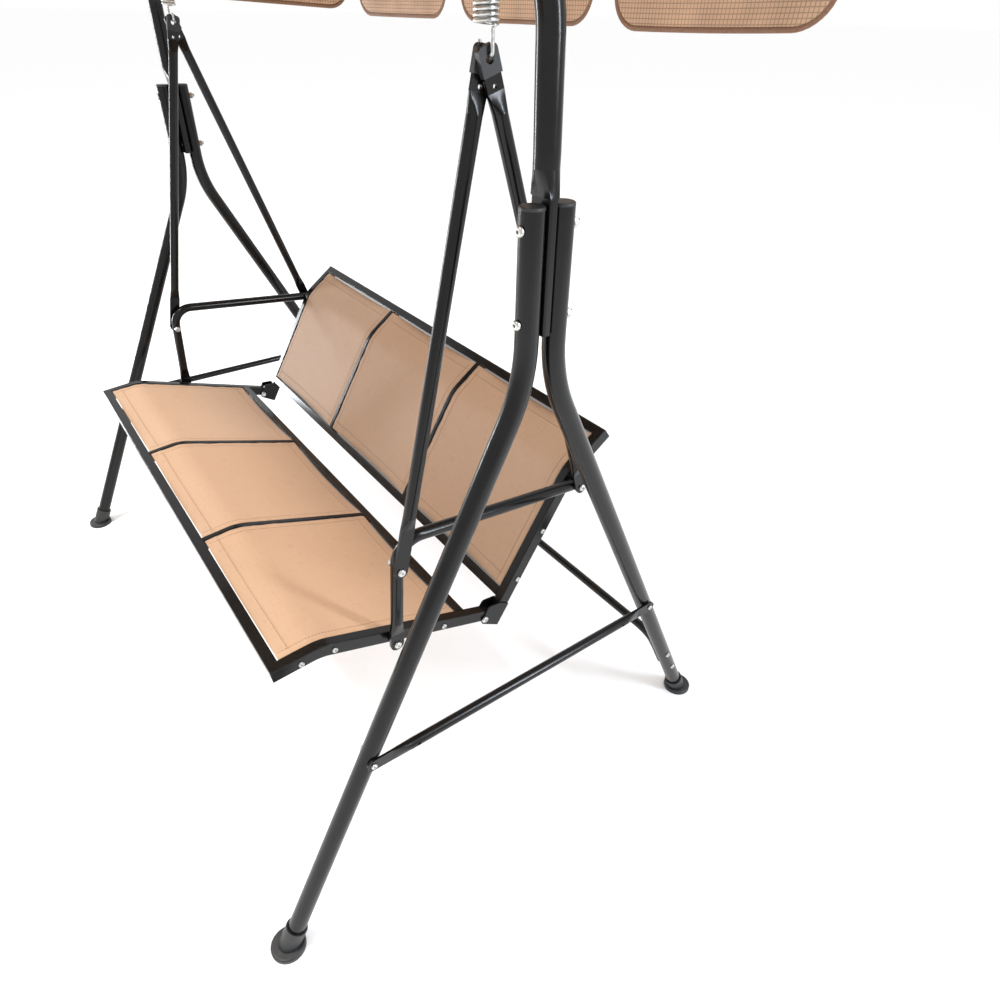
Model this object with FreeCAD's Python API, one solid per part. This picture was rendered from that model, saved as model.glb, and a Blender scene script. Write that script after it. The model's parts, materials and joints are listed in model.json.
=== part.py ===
import FreeCAD, Part
import math
import os
from FreeCAD import Vector as V

# Three-seat canopy patio swing. Millimetres, +Z up, origin on the ground under the middle of the stand.
# +X is the sitter's left, -Y is the front. The stand's two side frames stand in the planes x = +/- SIDE_X.

# ---------------------------------------------------------------- clearances
SEAT_GAP = 0.3          # between parts that rest on each other
BOLT_GAP = 0.3          # radial, bolt in its hole
PIVOT_GAP = 0.05        # radial, the canopy's pivot bolts in their holes

# ---------------------------------------------------------------- stand
SIDE_X = 764.0          # plane of each side frame
FOOT_Y = 510.0          # where a leg's axis meets the ground
LEG_OD = 32.0
LEG_WALL = 1.5
LEG_TOP_Z = 1196.0
LEG_SPLAY = FOOT_Y / 1020.0     # run over rise of the splayed part
LEG_BEND_R = 250.0
LEG_CUT_Z = 5.0         # level cut at the bottom of a leg

FOOT_FLANGE_D = 62.0
FOOT_FLANGE_T = 10.0
FOOT_RIM_R = 4.0
FOOT_COLLAR_D = 39.0
FOOT_COLLAR_RUN = 50.0
PLUG_T = 4.0
PLUG_DEPTH = 12.0

POST_X = SIDE_X - 6.0          # middle of the upright's foot
POST_LEAN = 9.0         # how far the upright leans in by the crossbar's height
POST_FLAT_T = 13.4      # upright's flattened foot, between the two legs
POST_FLAT_W = 38.0
POST_FLAT_Z0 = 1041.0
POST_FLAT_Z1 = 1206.0
POST_CRUSH = 30.0
POST_BEND_R = 115.0
CROSSBAR_Z = 1475.0
CROSSBAR_HALF = SIDE_X - 204.0
SPIGOT_RUN = 60.0
SPIGOT_GAP = 0.1

LEG_BOLT_D = 8.0
LEG_BOLT_ZS = (1173.0, 1060.0)

BRACE_Z = 395.0
BRACE_OD = 18.0
BRACE_WALL = 1.2
BRACE_FLAT_T = 4.0
BRACE_FLAT_W = 23.0
BRACE_FLAT_RUN = 34.0
BRACE_HOLE_D = 6.0
BRACE_HOLE_RUN = 80.0

REAR_BAR_OD = 19.0
REAR_BAR_Z = 236.0
REAR_BAR_R = 36.0
REAR_BAR_CRUSH = 16.0
REAR_BAR_BOLT_ZS = (182.0, 125.0)
SMALL_BOLT_D = 6.0

# ---------------------------------------------------------------- springs
SPRING_X = SIDE_X - 127.0
HOOK_Z = 1339.0         # axis of the lower hook's level part
EYE_Z = 1440.0          # axis of the upper hook's level part
SPRING_OD = 31.0
SPRING_WIRE = 5.0
SPRING_TURNS = 10
COIL_Z0 = 1368.0
COIL_Z1 = 1423.0
HOOK_REACH = 13.0       # hook's upright legs from the spring's axis
HOOK_BEND_R = 4.2
EYE_WIRE = 6.0
EYE_HOLE_R = 8.0

# ---------------------------------------------------------------- hangers and arms
SLEEVE_T = 8.6
SLEEVE_W = 28.0
SLEEVE_RUN = 32.0
SLEEVE_CORNER = 7.0
SLEEVE_HOLE_D = 12.0
HANGER_OD = 21.0
HANGER_WALL = 1.2
HANGER_FLAT_T = 5.0
HANGER_FLAT_W = 25.0
HANGER_FLAT_RUN = 36.0
HANGER_FRONT_FLAT_RUN = 80.0      # front hanger's lower flat, which passes the arm's knee
HANGER_CRUSH = 24.0
HANGER_VENT_D = 6.0
HANGER_VENT_RUN = 30.0

ARM_OD = 22.0
ARM_WALL = 1.2
ARM_X = SPRING_X - 12.0
ARM_FOOT = (-177.0, 452.0)
ARM_FRONT_BOLT = (-165.0, 625.0)
ARM_KNEE = (-160.5, 678.0)
ARM_REAR_BOLT = (227.0, 642.0)
ARM_KNEE_R = 45.0
ARM_END_RUN = 14.0
ARM_FLAT_T = 6.0
ARM_FLAT_W = 26.0

# ---------------------------------------------------------------- seat and back frames
FRAME_HALF = ARM_X - 18.0      # outer face of the side rails
RAIL_W = 20.0
RAIL_D = 25.0
RAIL_WALL = 1.2
RAIL_CORNER = 2.0
RAIL_BEND_R = 90.0
SEAT_KNEE = (-306.9, 496.2)
SEAT_TILT = 17.9
SEAT_NOSE_TILT = -5.1
SEAT_NOSE_RUN = 88.5
SEAT_RUN = 365.0
SEAT_REAR_RAIL_RUN = 298.5
BACK_KNEE = (230.4, 653.1)
BACK_RECLINE = 31.4
BACK_ROLL = 54.0
BACK_ROLL_RUN = 105.5
BACK_RUN = 349.0
BACK_LOW_RAIL_RUN = 282.7
DIVIDER_X = FRAME_HALF - 407.0
DIVIDER_W = 12.0

SLING_T = 3.0
SLING_SINK = 0.8        # sling's upper face below the rails' upper faces
SLING_EDGE_GAP = 4.0    # open slot between a sling's free edge and the rail beside it

HINGE_T = 2.5
PIVOT = (27.0, 382.0)
HINGE_BOLT_D = 8.0
SEAT_SCREWS = ((-344.0, 490.0), (-284.0, 487.0), (-67.0, 416.0))
BACK_SCREWS = ((108.0, 446.0), (166.0, 542.0))

# ---------------------------------------------------------------- canopy
CANOPY_AXIS_Z = 1506.0
CANOPY_END_X = SIDE_X - 46.0
CANOPY_BAR_Y = 528.0
CANOPY_BAR_OD = 19.0
CANOPY_BAR_WALL = 1.0
CANOPY_TILT = 2.9       # degrees, rear edge down, as it is left
CANOPY_SHEET_T = 3.0
FLAP_T = 2.0
FLAP_SEAM = 3.5         # height of a flap's upper edge over its bar's axis
LONG_FLAP_DEPTH = 131.0
END_FLAP_DEPTH = 120.0
LONG_FLAP_W = 446.0
LONG_FLAP_GAP = 60.0
END_FLAP_START = 38.0
END_FLAP_END = 506.0
FLAP_CORNER_R = 60.0
BRACKET_T = 3.2
BRACKET_W = 30.0
KNOB_D = 30.0
KNOB_T = 20.0

os.makedirs("parts", exist_ok=True)
X, Y, Z = V(1, 0, 0), V(0, 1, 0), V(0, 0, 1)


# ================================================================ helpers
def yz(x, point):
    """The 3D point at x of a (y, z) pair."""
    return V(x, point[0], point[1])


def step(point, degrees, run):
    """A (y, z) pair moved by run, at an angle from +Y towards +Z."""
    turn = math.radians(degrees)
    return (point[0] + run * math.cos(turn), point[1] + run * math.sin(turn))


def path(points, radius):
    """Straight runs through points, joined by tangent arcs of one radius."""
    edges = []
    start = points[0]
    for before, corner, after in zip(points, points[1:], points[2:]):
        into = (corner - before).normalize()
        out = (after - corner).normalize()
        turn = into.getAngle(out)
        setback = radius * math.tan(turn / 2)
        first = corner - into * setback
        last = corner + out * setback
        inward = (out - into).normalize()
        centre = corner + inward * (radius / math.cos(turn / 2))
        middle = centre - inward * radius
        edges.append(Part.LineSegment(start, first).toShape())
        edges.append(Part.Arc(first, middle, last).toShape())
        start = last
    edges.append(Part.LineSegment(start, points[-1]).toShape())
    return Part.Wire(edges)


def round_bar(points, radius, diameter):
    """A solid round bar along a path."""
    route = path(points, radius)
    direction = points[1] - points[0]
    ring = Part.Wire(Part.makeCircle(diameter / 2, points[0], direction))
    return route.makePipeShell([ring], True, False)


def tube(points, radius, outer, wall):
    """A round tube along a path."""
    return round_bar(points, radius, outer).cut(round_bar(points, radius, outer - 2 * wall))


def rounded_box_wire(centre, across, up, width, height, corner):
    """A rectangle with round corners, centred in the plane of the unit vectors across and up."""
    bend = corner * (1 - math.sqrt(0.5))
    edges = []
    last = None
    w, h = width / 2, height / 2
    for sx, sy in ((1, 1), (-1, 1), (-1, -1), (1, -1)):
        flat = (w * sx, (h - corner) * sy), (w * sx - bend * sx, (h - bend) * sy), ((w - corner) * sx, h * sy)
        first, middle, end = flat if sx * sy > 0 else flat[::-1]
        spots = [centre + across * a + up * b for a, b in (first, middle, end)]
        if last:
            edges.append(Part.LineSegment(last, spots[0]).toShape())
        edges.append(Part.Arc(*spots).toShape())
        last = spots[2]
        opening = edges[0].Vertexes[0].Point
    edges.append(Part.LineSegment(last, opening).toShape())
    return Part.Wire(edges)


def box_bar(points, radius, side, width, depth, corner):
    """A solid bar of rectangular section along a path that lies square to the unit vector side."""
    direction = (points[1] - points[0]).normalize()
    section = rounded_box_wire(points[0], side, direction.cross(side), width, depth, corner)
    return path(points, radius).makePipeShell([section], True, False)


def box_tube(points, radius, side, width, depth, wall, corner):
    """A rectangular tube along a path."""
    inner = box_bar(points, radius, side, width - 2 * wall, depth - 2 * wall, corner - wall / 2)
    return box_bar(points, radius, side, width, depth, corner).cut(inner)


def rod(start, end, diameter):
    """A straight solid cylinder between two points."""
    run = end - start
    return Part.makeCylinder(diameter / 2, run.Length, start, run)


def beyond(point, normal, size=400.0):
    """A large block that fills the side of a plane that its normal points to."""
    face = Part.makePlane(size, size, point, normal)
    face.translate(point - face.CenterOfMass)
    return face.extrude(V(normal).normalize() * size)


def other_side(shape):
    """The mirror image on the other side of the swing."""
    return shape.mirror(V(0, 0, 0), X)


def both_sides(shape):
    return [shape, other_side(shape)]


def save(name, *solids):
    """Writes one node: one solid, or a group of separate solids."""
    flat = [solid for shape in solids for solid in shape.Solids]
    shape = flat[0] if len(flat) == 1 else Part.makeCompound(flat)
    shape.exportStep(f"parts/{name}.step")


def save_pair(name, shape):
    save(f"{name}_left", shape)
    save(f"{name}_right", other_side(shape))


def crush(at, along, across, flat_w, flat_t, diameter, run, aside=V(0, 0, 0)):
    """The tapered length where a tube's flattened end grows into its round part, set aside by a vector."""
    thick = along.cross(across)
    half = flat_w / 2
    flat = [at + across * a + thick * b for a, b in
            ((half, -flat_t / 2), (half, flat_t / 2), (-half, flat_t / 2), (-half, -flat_t / 2))]
    square = Part.makePolygon(flat + flat[:1])
    end = at + along * run + aside
    spot = [end + across * (a * diameter / 2) + thick * (b * diameter / 2) for a, b in
            [(math.cos(t), math.sin(t)) for t in [math.radians(45 * k) for k in range(-1, 7)]]]
    arcs = [Part.Arc(spot[k], spot[k + 1], spot[(k + 2) % 8]).toShape() for k in (0, 2, 4, 6)]
    return Part.makeLoft([square, Part.Wire(arcs)], True, True)


def tongue(hole, along, across, width, thickness, run):
    """A flattened end: a plate with a round nose about its hole, reaching run towards the tube."""
    thick = along.cross(across)
    half = width / 2
    low = -thick * (thickness / 2)
    corners = [hole + along * run + across * half, hole + across * half, hole - along * half,
               hole - across * half, hole + along * run - across * half]
    corners = [corner + low for corner in corners]
    edges = [Part.LineSegment(corners[0], corners[1]).toShape(),
             Part.Arc(corners[1], corners[2], corners[3]).toShape(),
             Part.LineSegment(corners[3], corners[4]).toShape(),
             Part.LineSegment(corners[4], corners[0]).toShape()]
    return Part.Face(Part.Wire(edges)).extrude(thick * thickness)


def flat_ended_tube(start, end, side, outer, wall, flat_w, flat_t, start_run, end_run, crush_run):
    """A straight tube, flattened square to side at both ends, from hole centre to hole centre."""
    along = (end - start).normalize()
    across = side.cross(along).normalize()
    low, high = start + along * (start_run + crush_run), end - along * (end_run + crush_run)
    body = rod(low, high, outer).cut(rod(low, high, outer - 2 * wall))
    pieces = [crush(start + along * start_run, along, across, flat_w, flat_t, outer, crush_run),
              crush(end - along * end_run, -along, across, flat_w, flat_t, outer, crush_run),
              tongue(start, along, across, flat_w, flat_t, start_run),
              tongue(end, -along, across, flat_w, flat_t, end_run)]
    return body.fuse(pieces).removeSplitter()


def button_bolt(under_head, direction, diameter, length):
    """A button-head bolt with a hex socket. It points along direction from under its head."""
    axis = V(direction).normalize()
    head_d, head_h = diameter * 1.75, diameter * 0.55
    head = Part.makeCylinder(head_d / 2, head_h, under_head - axis * head_h, axis)
    rim = [e for e in head.Edges if e.Curve.TypeId == "Part::GeomCircle"
           and (e.Curve.Center - (under_head - axis * head_h)).Length < 0.01]
    head = head.makeFillet(head_h * 0.7, rim)
    helper = Z if abs(axis.dot(Z)) < 0.9 else X
    across = axis.cross(helper).normalize()
    up = axis.cross(across)
    radius = diameter * 0.33
    top = under_head - axis * (head_h + 0.1)
    corners = [top + across * (radius * math.cos(math.radians(60 * k)))
               + up * (radius * math.sin(math.radians(60 * k))) for k in range(6)]
    socket = Part.Face(Part.makePolygon(corners + corners[:1])).extrude(axis * (head_h * 0.7))
    return head.cut(socket).fuse(rod(under_head, under_head + axis * length, diameter)).removeSplitter()


def hex_nut(face, direction, diameter):
    """A hex nut that stands on face along direction, with a clear hole for its bolt."""
    axis = V(direction).normalize()
    helper = Z if abs(axis.dot(Z)) < 0.9 else X
    across = axis.cross(helper).normalize()
    up = axis.cross(across)
    radius = diameter * 0.94
    height = diameter * 0.8
    corners = [face + across * (radius * math.cos(math.radians(60 * k)))
               + up * (radius * math.sin(math.radians(60 * k))) for k in range(6)]
    body = Part.Face(Part.makePolygon(corners + corners[:1])).extrude(axis * height)
    chamfer = Part.makeCone(radius * 1.35, radius * 0.85, height, face, axis)
    hole = rod(face - axis, face + axis * (height + 1), diameter + 0.1)
    return body.common(chamfer).cut(hole)


def drill(shape, start, end, bolt_d, gap=BOLT_GAP):
    """shape with a bolt hole from start to end."""
    return shape.cut(rod(start, end, bolt_d + 2 * gap))


# ================================================================ stand
LEG_TOP_Y = POST_FLAT_T / 2 + SEAT_GAP + LEG_OD / 2
LEG_BEND_Z = (FOOT_Y - LEG_TOP_Y) / LEG_SPLAY


def leg_y(z):
    """Distance of a leg's axis from the side frame's middle, at a height below the bend."""
    return LEG_TOP_Y + LEG_SPLAY * (LEG_BEND_Z - z)


def leg_points(sign, low, x=SIDE_X):
    return [V(x, sign * LEG_TOP_Y, LEG_TOP_Z), V(x, sign * LEG_TOP_Y, LEG_BEND_Z),
            V(x, sign * leg_y(low), low)]


def make_leg(sign):
    """sign is -1 for a front leg and 1 for a rear leg."""
    leg = tube(leg_points(sign, -20.0), LEG_BEND_R, LEG_OD, LEG_WALL)
    leg = leg.cut(beyond(V(SIDE_X, sign * FOOT_Y, LEG_CUT_Z), -Z))
    for z in LEG_BOLT_ZS:
        leg = drill(leg, V(SIDE_X, sign * LEG_TOP_Y - LEG_OD, z), V(SIDE_X, sign * LEG_TOP_Y + LEG_OD, z),
                    LEG_BOLT_D)
    side_holes = [BRACE_Z] + (list(REAR_BAR_BOLT_ZS) if sign > 0 else [])
    for z in side_holes:
        y = sign * leg_y(z)
        leg = drill(leg, V(SIDE_X - LEG_OD, y, z), V(SIDE_X + LEG_OD, y, z), SMALL_BOLT_D)
    return leg


def make_foot(sign):
    """Black plastic foot: a level flange with a collar that follows the leg."""
    up_leg = V(0, -sign * LEG_SPLAY, 1).normalize()
    base = V(SIDE_X, sign * FOOT_Y, 0)
    flange = Part.makeCylinder(FOOT_FLANGE_D / 2, FOOT_FLANGE_T, base, Z)
    rim = [e for e in flange.Edges if e.Curve.TypeId == "Part::GeomCircle"
           and abs(e.Curve.Center.z - FOOT_FLANGE_T) < 0.01]
    flange = flange.makeFillet(FOOT_RIM_R, rim)
    collar = rod(base - up_leg * 30, base + up_leg * FOOT_COLLAR_RUN, FOOT_COLLAR_D)
    collar = collar.cut(beyond(base, -Z))
    pocket = rod(base - up_leg * 30, base + up_leg * (FOOT_COLLAR_RUN + 1), LEG_OD + 2 * SEAT_GAP)
    pocket = pocket.cut(beyond(base + Z * (LEG_CUT_Z - SEAT_GAP), -Z))
    return flange.fuse(collar).cut(pocket).removeSplitter()


def make_leg_plug(sign):
    """Black plastic plug in the top of a leg."""
    top = V(SIDE_X, sign * LEG_TOP_Y, LEG_TOP_Z)
    cap = Part.makeCylinder(LEG_OD / 2, PLUG_T, top, Z)
    rim = [e for e in cap.Edges if e.Curve.TypeId == "Part::GeomCircle"
           and abs(e.Curve.Center.z - (LEG_TOP_Z + PLUG_T)) < 0.01]
    cap = cap.makeFillet(PLUG_T * 0.6, rim)
    stem = rod(top - Z * PLUG_DEPTH, top, LEG_OD - 2 * LEG_WALL - 2 * SEAT_GAP)
    return cap.fuse(stem).removeSplitter()


def post_points():
    """The upright's centre line from its round part's foot to the crossbar's joint."""
    foot = V(POST_X, 0, POST_FLAT_Z1 + POST_CRUSH)
    return [foot, foot + Z * (POST_CRUSH / 2), V(POST_X - POST_LEAN, 0, CROSSBAR_Z),
            V(CROSSBAR_HALF, 0, CROSSBAR_Z)]


def make_upright():
    """Post with a flattened foot, bent over at the top into the crossbar's end."""
    flat = Part.makeBox(POST_FLAT_W, POST_FLAT_T, POST_FLAT_Z1 - POST_FLAT_Z0,
                        V(POST_X - POST_FLAT_W / 2, -POST_FLAT_T / 2, POST_FLAT_Z0))
    long_edges = [e for e in flat.Edges if abs(e.tangentAt(e.FirstParameter).z) > 0.9]
    flat = flat.makeFillet(POST_FLAT_T * 0.3, long_edges)
    taper = crush(V(POST_X, 0, POST_FLAT_Z1), Z, X, POST_FLAT_W, POST_FLAT_T, LEG_OD, POST_CRUSH)
    points = post_points()
    end = points[-1]
    post = tube(points, POST_BEND_R, LEG_OD, LEG_WALL)
    spigot_od = LEG_OD - 2 * LEG_WALL - 2 * SPIGOT_GAP
    spigot = tube([end + X * SPIGOT_RUN / 2, end - X * SPIGOT_RUN], 1.0, spigot_od, LEG_WALL)
    core = rod(end, end + X * SPIGOT_RUN / 2, LEG_OD - 1.0).cut(rod(end, end + X * SPIGOT_RUN / 2,
                                                                    spigot_od - 1.0))
    upright = post.fuse([taper, flat, spigot, core]).removeSplitter()
    for z in LEG_BOLT_ZS:
        upright = drill(upright, V(SIDE_X, -LEG_OD, z), V(SIDE_X, LEG_OD, z), LEG_BOLT_D)
    return drill(upright, V(SPRING_X, 0, CROSSBAR_Z - LEG_OD), V(SPRING_X, 0, CROSSBAR_Z + LEG_OD), EYE_WIRE)


def make_crossbar():
    return tube([V(-CROSSBAR_HALF, 0, CROSSBAR_Z), V(CROSSBAR_HALF, 0, CROSSBAR_Z)], 1.0, LEG_OD, LEG_WALL)


BRACE_X = SIDE_X + LEG_OD / 2 + SEAT_GAP + BRACE_FLAT_T / 2


def make_side_brace():
    """Level tube on the outside of a side frame, flattened at its ends."""
    y = leg_y(BRACE_Z)
    front, rear = V(BRACE_X, -y, BRACE_Z), V(BRACE_X, y, BRACE_Z)
    brace = flat_ended_tube(front, rear, X, BRACE_OD, BRACE_WALL, BRACE_FLAT_W, BRACE_FLAT_T,
                            BRACE_FLAT_RUN, BRACE_FLAT_RUN, BRACE_FLAT_RUN)
    for spot in (front, rear):
        brace = drill(brace, spot - X * 10, spot + X * 10, SMALL_BOLT_D)
    for sign in (-1, 1):
        at = V(BRACE_X, sign * (y - BRACE_HOLE_RUN), BRACE_Z)
        brace = brace.cut(rod(at, at + X * BRACE_OD, BRACE_HOLE_D))
    return brace


REAR_BAR_X = SIDE_X - LEG_OD / 2 - SEAT_GAP - BRACE_FLAT_T / 2


def make_rear_bar():
    """Cross tube behind the swing. Its bent ends lie flattened along the inside of the rear legs."""
    inset = X * -(REAR_BAR_OD - BRACE_FLAT_T) / 2
    high = V(REAR_BAR_X, leg_y(REAR_BAR_Z), REAR_BAR_Z) + inset
    down = V(0, LEG_SPLAY, -1).normalize()
    upper, lower = [V(REAR_BAR_X, leg_y(z), z) for z in REAR_BAR_BOLT_ZS]
    bend_end = high + down * REAR_BAR_R
    flat_from = bend_end - inset + down * REAR_BAR_CRUSH
    points = [bend_end, high, V(-high.x, high.y, high.z), V(-bend_end.x, bend_end.y, bend_end.z)]
    bar = tube(points, REAR_BAR_R * 0.99, REAR_BAR_OD, BRACE_WALL)
    across = X.cross(down).normalize()
    tip = tongue(lower, -down, across, BRACE_FLAT_W, BRACE_FLAT_T, (flat_from - lower).Length)
    end = tip.fuse(crush(flat_from, -down, across, BRACE_FLAT_W, BRACE_FLAT_T, REAR_BAR_OD,
                         REAR_BAR_CRUSH, inset))
    for spot in (upper, lower):
        end = drill(end, spot - X * 20, spot + X * 20, SMALL_BOLT_D)
    return bar.fuse(both_sides(end)).removeSplitter()


def make_leg_bolts():
    """Two bolts through the front leg, the upright's foot and the rear leg, with their nuts."""
    front = -LEG_TOP_Y - LEG_OD / 2 - SEAT_GAP
    rear = -front
    grip = rear - front
    bolts, nuts = [], []
    for z in LEG_BOLT_ZS:
        bolts.append(button_bolt(V(SIDE_X, front, z), Y, LEG_BOLT_D, grip + LEG_BOLT_D * 1.4))
        nuts.append(hex_nut(V(SIDE_X, rear, z), Y, LEG_BOLT_D))
    return bolts, nuts


def make_brace_bolts():
    """Bolts that hold the side braces and the rear bar to the legs."""
    bolts, nuts = [], []
    outside = BRACE_X + BRACE_FLAT_T / 2 + SEAT_GAP
    inside = SIDE_X - LEG_OD / 2 - SEAT_GAP
    for sign in (-1, 1):
        at = V(0, sign * leg_y(BRACE_Z), BRACE_Z)
        bolts.append(button_bolt(at + X * outside, -X, SMALL_BOLT_D, outside - inside + 8))
        nuts.append(hex_nut(at + X * inside, -X, SMALL_BOLT_D))
    outside = SIDE_X + LEG_OD / 2 + SEAT_GAP
    inside = REAR_BAR_X - BRACE_FLAT_T / 2 - SEAT_GAP
    for z in REAR_BAR_BOLT_ZS:
        at = V(0, leg_y(z), z)
        bolts.append(button_bolt(at + X * outside, -X, SMALL_BOLT_D, outside - inside + 8))
        nuts.append(hex_nut(at + X * inside, -X, SMALL_BOLT_D))
    return bolts, nuts


def make_spring_eye():
    """Eyebolt through the crossbar's end: a ring below and a threaded shank with its nut above."""
    ring_r = EYE_HOLE_R + EYE_WIRE / 2
    centre = V(SPRING_X, 0, EYE_Z + EYE_HOLE_R - SPRING_WIRE / 2 - SEAT_GAP)
    ring = Part.makeTorus(ring_r, EYE_WIRE / 2, centre, X)
    top = CROSSBAR_Z + LEG_OD / 2
    shank = rod(centre + Z * ring_r, V(SPRING_X, 0, top + EYE_WIRE * 1.3), EYE_WIRE)
    nut = hex_nut(V(SPRING_X, 0, top + SEAT_GAP), Z, EYE_WIRE)
    return ring.fuse(shank).removeSplitter(), nut


def make_canopy_bracket():
    """Upright plate on the bend of the post, which carries the canopy's pivot."""
    outer = CANOPY_END_X - CANOPY_BAR_OD / 2 - SEAT_GAP
    low = CROSSBAR_Z - LEG_OD / 2
    half, nose_r = BRACKET_W / 2, CANOPY_BAR_OD / 2 - SEAT_GAP
    inner = outer - BRACKET_T
    outline = [V(inner, y, z) for y, z in ((-half, low), (half, low), (nose_r, CANOPY_AXIS_Z),
                                           (-nose_r, CANOPY_AXIS_Z))]
    plate = Part.Face(Part.makePolygon(outline + outline[:1])).extrude(X * BRACKET_T)
    nose = Part.makeCylinder(nose_r, BRACKET_T, V(inner, 0, CANOPY_AXIS_Z), X)
    post = round_bar(post_points(), POST_BEND_R, LEG_OD)
    plate = plate.fuse(nose).cut(post).removeSplitter()
    plate = max(plate.Solids, key=lambda solid: solid.CenterOfMass.z)
    return drill(plate, V(outer - 10, 0, CANOPY_AXIS_Z), V(outer + 10, 0, CANOPY_AXIS_Z), HINGE_BOLT_D,
                 PIVOT_GAP)


def build_stand():
    for sign, end in ((-1, "front"), (1, "rear")):
        save_pair(f"leg_{end}", make_leg(sign))
    save("feet", *[foot for sign in (-1, 1) for foot in both_sides(make_foot(sign))])
    save("leg_plugs", *[plug for sign in (-1, 1) for plug in both_sides(make_leg_plug(sign))])
    save_pair("upright", make_upright())
    save("crossbar", make_crossbar())
    save_pair("side_brace", make_side_brace())
    save("rear_bar", make_rear_bar())
    leg_bolts, leg_nuts = make_leg_bolts()
    brace_bolts, brace_nuts = make_brace_bolts()
    eye, eye_nut = make_spring_eye()
    save("leg_bolts", *[b for bolt in leg_bolts for b in both_sides(bolt)])
    save("brace_bolts", *[b for bolt in brace_bolts for b in both_sides(bolt)])
    save("stand_nuts", *[n for nut in leg_nuts + brace_nuts + [eye_nut] for n in both_sides(nut)])
    save("spring_eyes", *both_sides(eye))
    save("canopy_brackets", *both_sides(make_canopy_bracket()))


# ================================================================ springs
def make_hook(level_z, coil_end_z, tip_z):
    """Hook wire: down from the coil, level through its eye or hole, and back to a short free end."""
    points = [V(SPRING_X + HOOK_REACH, 0, coil_end_z), V(SPRING_X + HOOK_REACH, 0, level_z),
              V(SPRING_X - HOOK_REACH, 0, level_z), V(SPRING_X - HOOK_REACH, 0, tip_z)]
    return round_bar(points, HOOK_BEND_R, SPRING_WIRE)


def make_coil():
    """Open-wound extension coil."""
    radius = (SPRING_OD - SPRING_WIRE) / 2
    rise = COIL_Z1 - COIL_Z0
    helix = Part.makeHelix(rise / SPRING_TURNS, rise, radius)
    ring = Part.Wire(Part.makeCircle(SPRING_WIRE / 2, V(radius, 0, 0), Y))
    coil = Part.Wire(helix).makePipeShell([ring], True, True)
    coil.translate(V(SPRING_X, 0, COIL_Z0))
    return coil


def build_springs():
    clear = SPRING_WIRE / 2 + SEAT_GAP
    save_pair("spring_coil", make_coil())
    save_pair("spring_top_hook", make_hook(EYE_Z, COIL_Z1 + clear, EYE_Z - 11))
    save_pair("spring_low_hook", make_hook(HOOK_Z, COIL_Z0 - clear, HOOK_Z + 15))


# ================================================================ hangers and arms
SLEEVE_GAP = 0.4
SLEEVE_OFFSET = (SLEEVE_T + SLEEVE_GAP) / 2
HOLE_DROP = SLEEVE_HOLE_D / 2 - SPRING_WIRE / 2 - SEAT_GAP
HANGER_TOP = (0.0, HOOK_Z - HOLE_DROP)
HANGER_LOW_X = ARM_X + ARM_OD / 2 + SEAT_GAP + HANGER_FLAT_T / 2


def hanger_ends(low_bolt, sleeve_side):
    return yz(HANGER_LOW_X, low_bolt), yz(SPRING_X + sleeve_side * SLEEVE_OFFSET, HANGER_TOP)


def make_hanger(low_bolt, sleeve_side, low_run):
    """Tube from an arm's bolt up to the spring's hook."""
    low, top = hanger_ends(low_bolt, sleeve_side)
    hanger = flat_ended_tube(low, top, X, HANGER_OD, HANGER_WALL, HANGER_FLAT_W, HANGER_FLAT_T,
                             low_run, HANGER_FLAT_RUN, HANGER_CRUSH)
    hanger = drill(hanger, low - X * 20, low + X * 20, HINGE_BOLT_D)
    hanger = hanger.cut(rod(top - X * 20, top + X * 20, SLEEVE_HOLE_D))
    down = (low - top).normalize()
    vent = top + down * HANGER_VENT_RUN
    return hanger.cut(rod(vent - X * 20, vent + X * 20, HANGER_VENT_D))


def make_sleeve(low_bolt, sleeve_side):
    """Black plastic sleeve over a hanger's flattened top."""
    low, top = hanger_ends(low_bolt, sleeve_side)
    down = (low - top).normalize()
    across = X.cross(down).normalize()
    start = top - down * (SLEEVE_W / 2) - X * (SLEEVE_T / 2)
    half = across * (SLEEVE_W / 2)
    outline = [start - half, start + half, start + half + down * SLEEVE_RUN, start - half + down * SLEEVE_RUN]
    sleeve = Part.Face(Part.makePolygon(outline + outline[:1])).extrude(X * SLEEVE_T)
    upper = [e for e in sleeve.Edges if abs(e.tangentAt(e.FirstParameter).x) > 0.9
             and (e.CenterOfMass - start).dot(down) < 1]
    sleeve = sleeve.makeFillet(SLEEVE_CORNER, upper)
    pocket = tongue(top, down, across, HANGER_FLAT_W + 2 * SEAT_GAP, HANGER_FLAT_T + 2 * SEAT_GAP, SLEEVE_RUN)
    return sleeve.cut(pocket).cut(rod(top - X * 20, top + X * 20, SLEEVE_HOLE_D))


def arm_points(x=ARM_X):
    foot, knee, rear = [yz(x, p) for p in (ARM_FOOT, ARM_KNEE, ARM_REAR_BOLT)]
    beyond_rear = rear + (rear - knee).normalize() * ARM_END_RUN
    return foot, knee, beyond_rear


def make_arm():
    """Armrest tube: flattened foot on the seat rail, up past the hanger's bolt, level back to the backrest."""
    foot, knee, end = arm_points()
    along = (knee - foot).normalize()
    across = X.cross(along).normalize()
    start = foot + along * 52
    arm = tube([start, knee, end], ARM_KNEE_R, ARM_OD, ARM_WALL)
    taper = crush(foot + along * 24, along, across, ARM_FLAT_W, ARM_FLAT_T, ARM_OD, 28.0)
    nose = tongue(foot, along, across, ARM_FLAT_W, ARM_FLAT_T, 24.0)
    arm = arm.fuse([taper, nose]).removeSplitter()
    for spot in (ARM_FOOT, ARM_FRONT_BOLT, ARM_REAR_BOLT):
        at = yz(ARM_X, spot)
        arm = drill(arm, at - X * 20, at + X * 20, HINGE_BOLT_D)
    return arm


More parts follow.
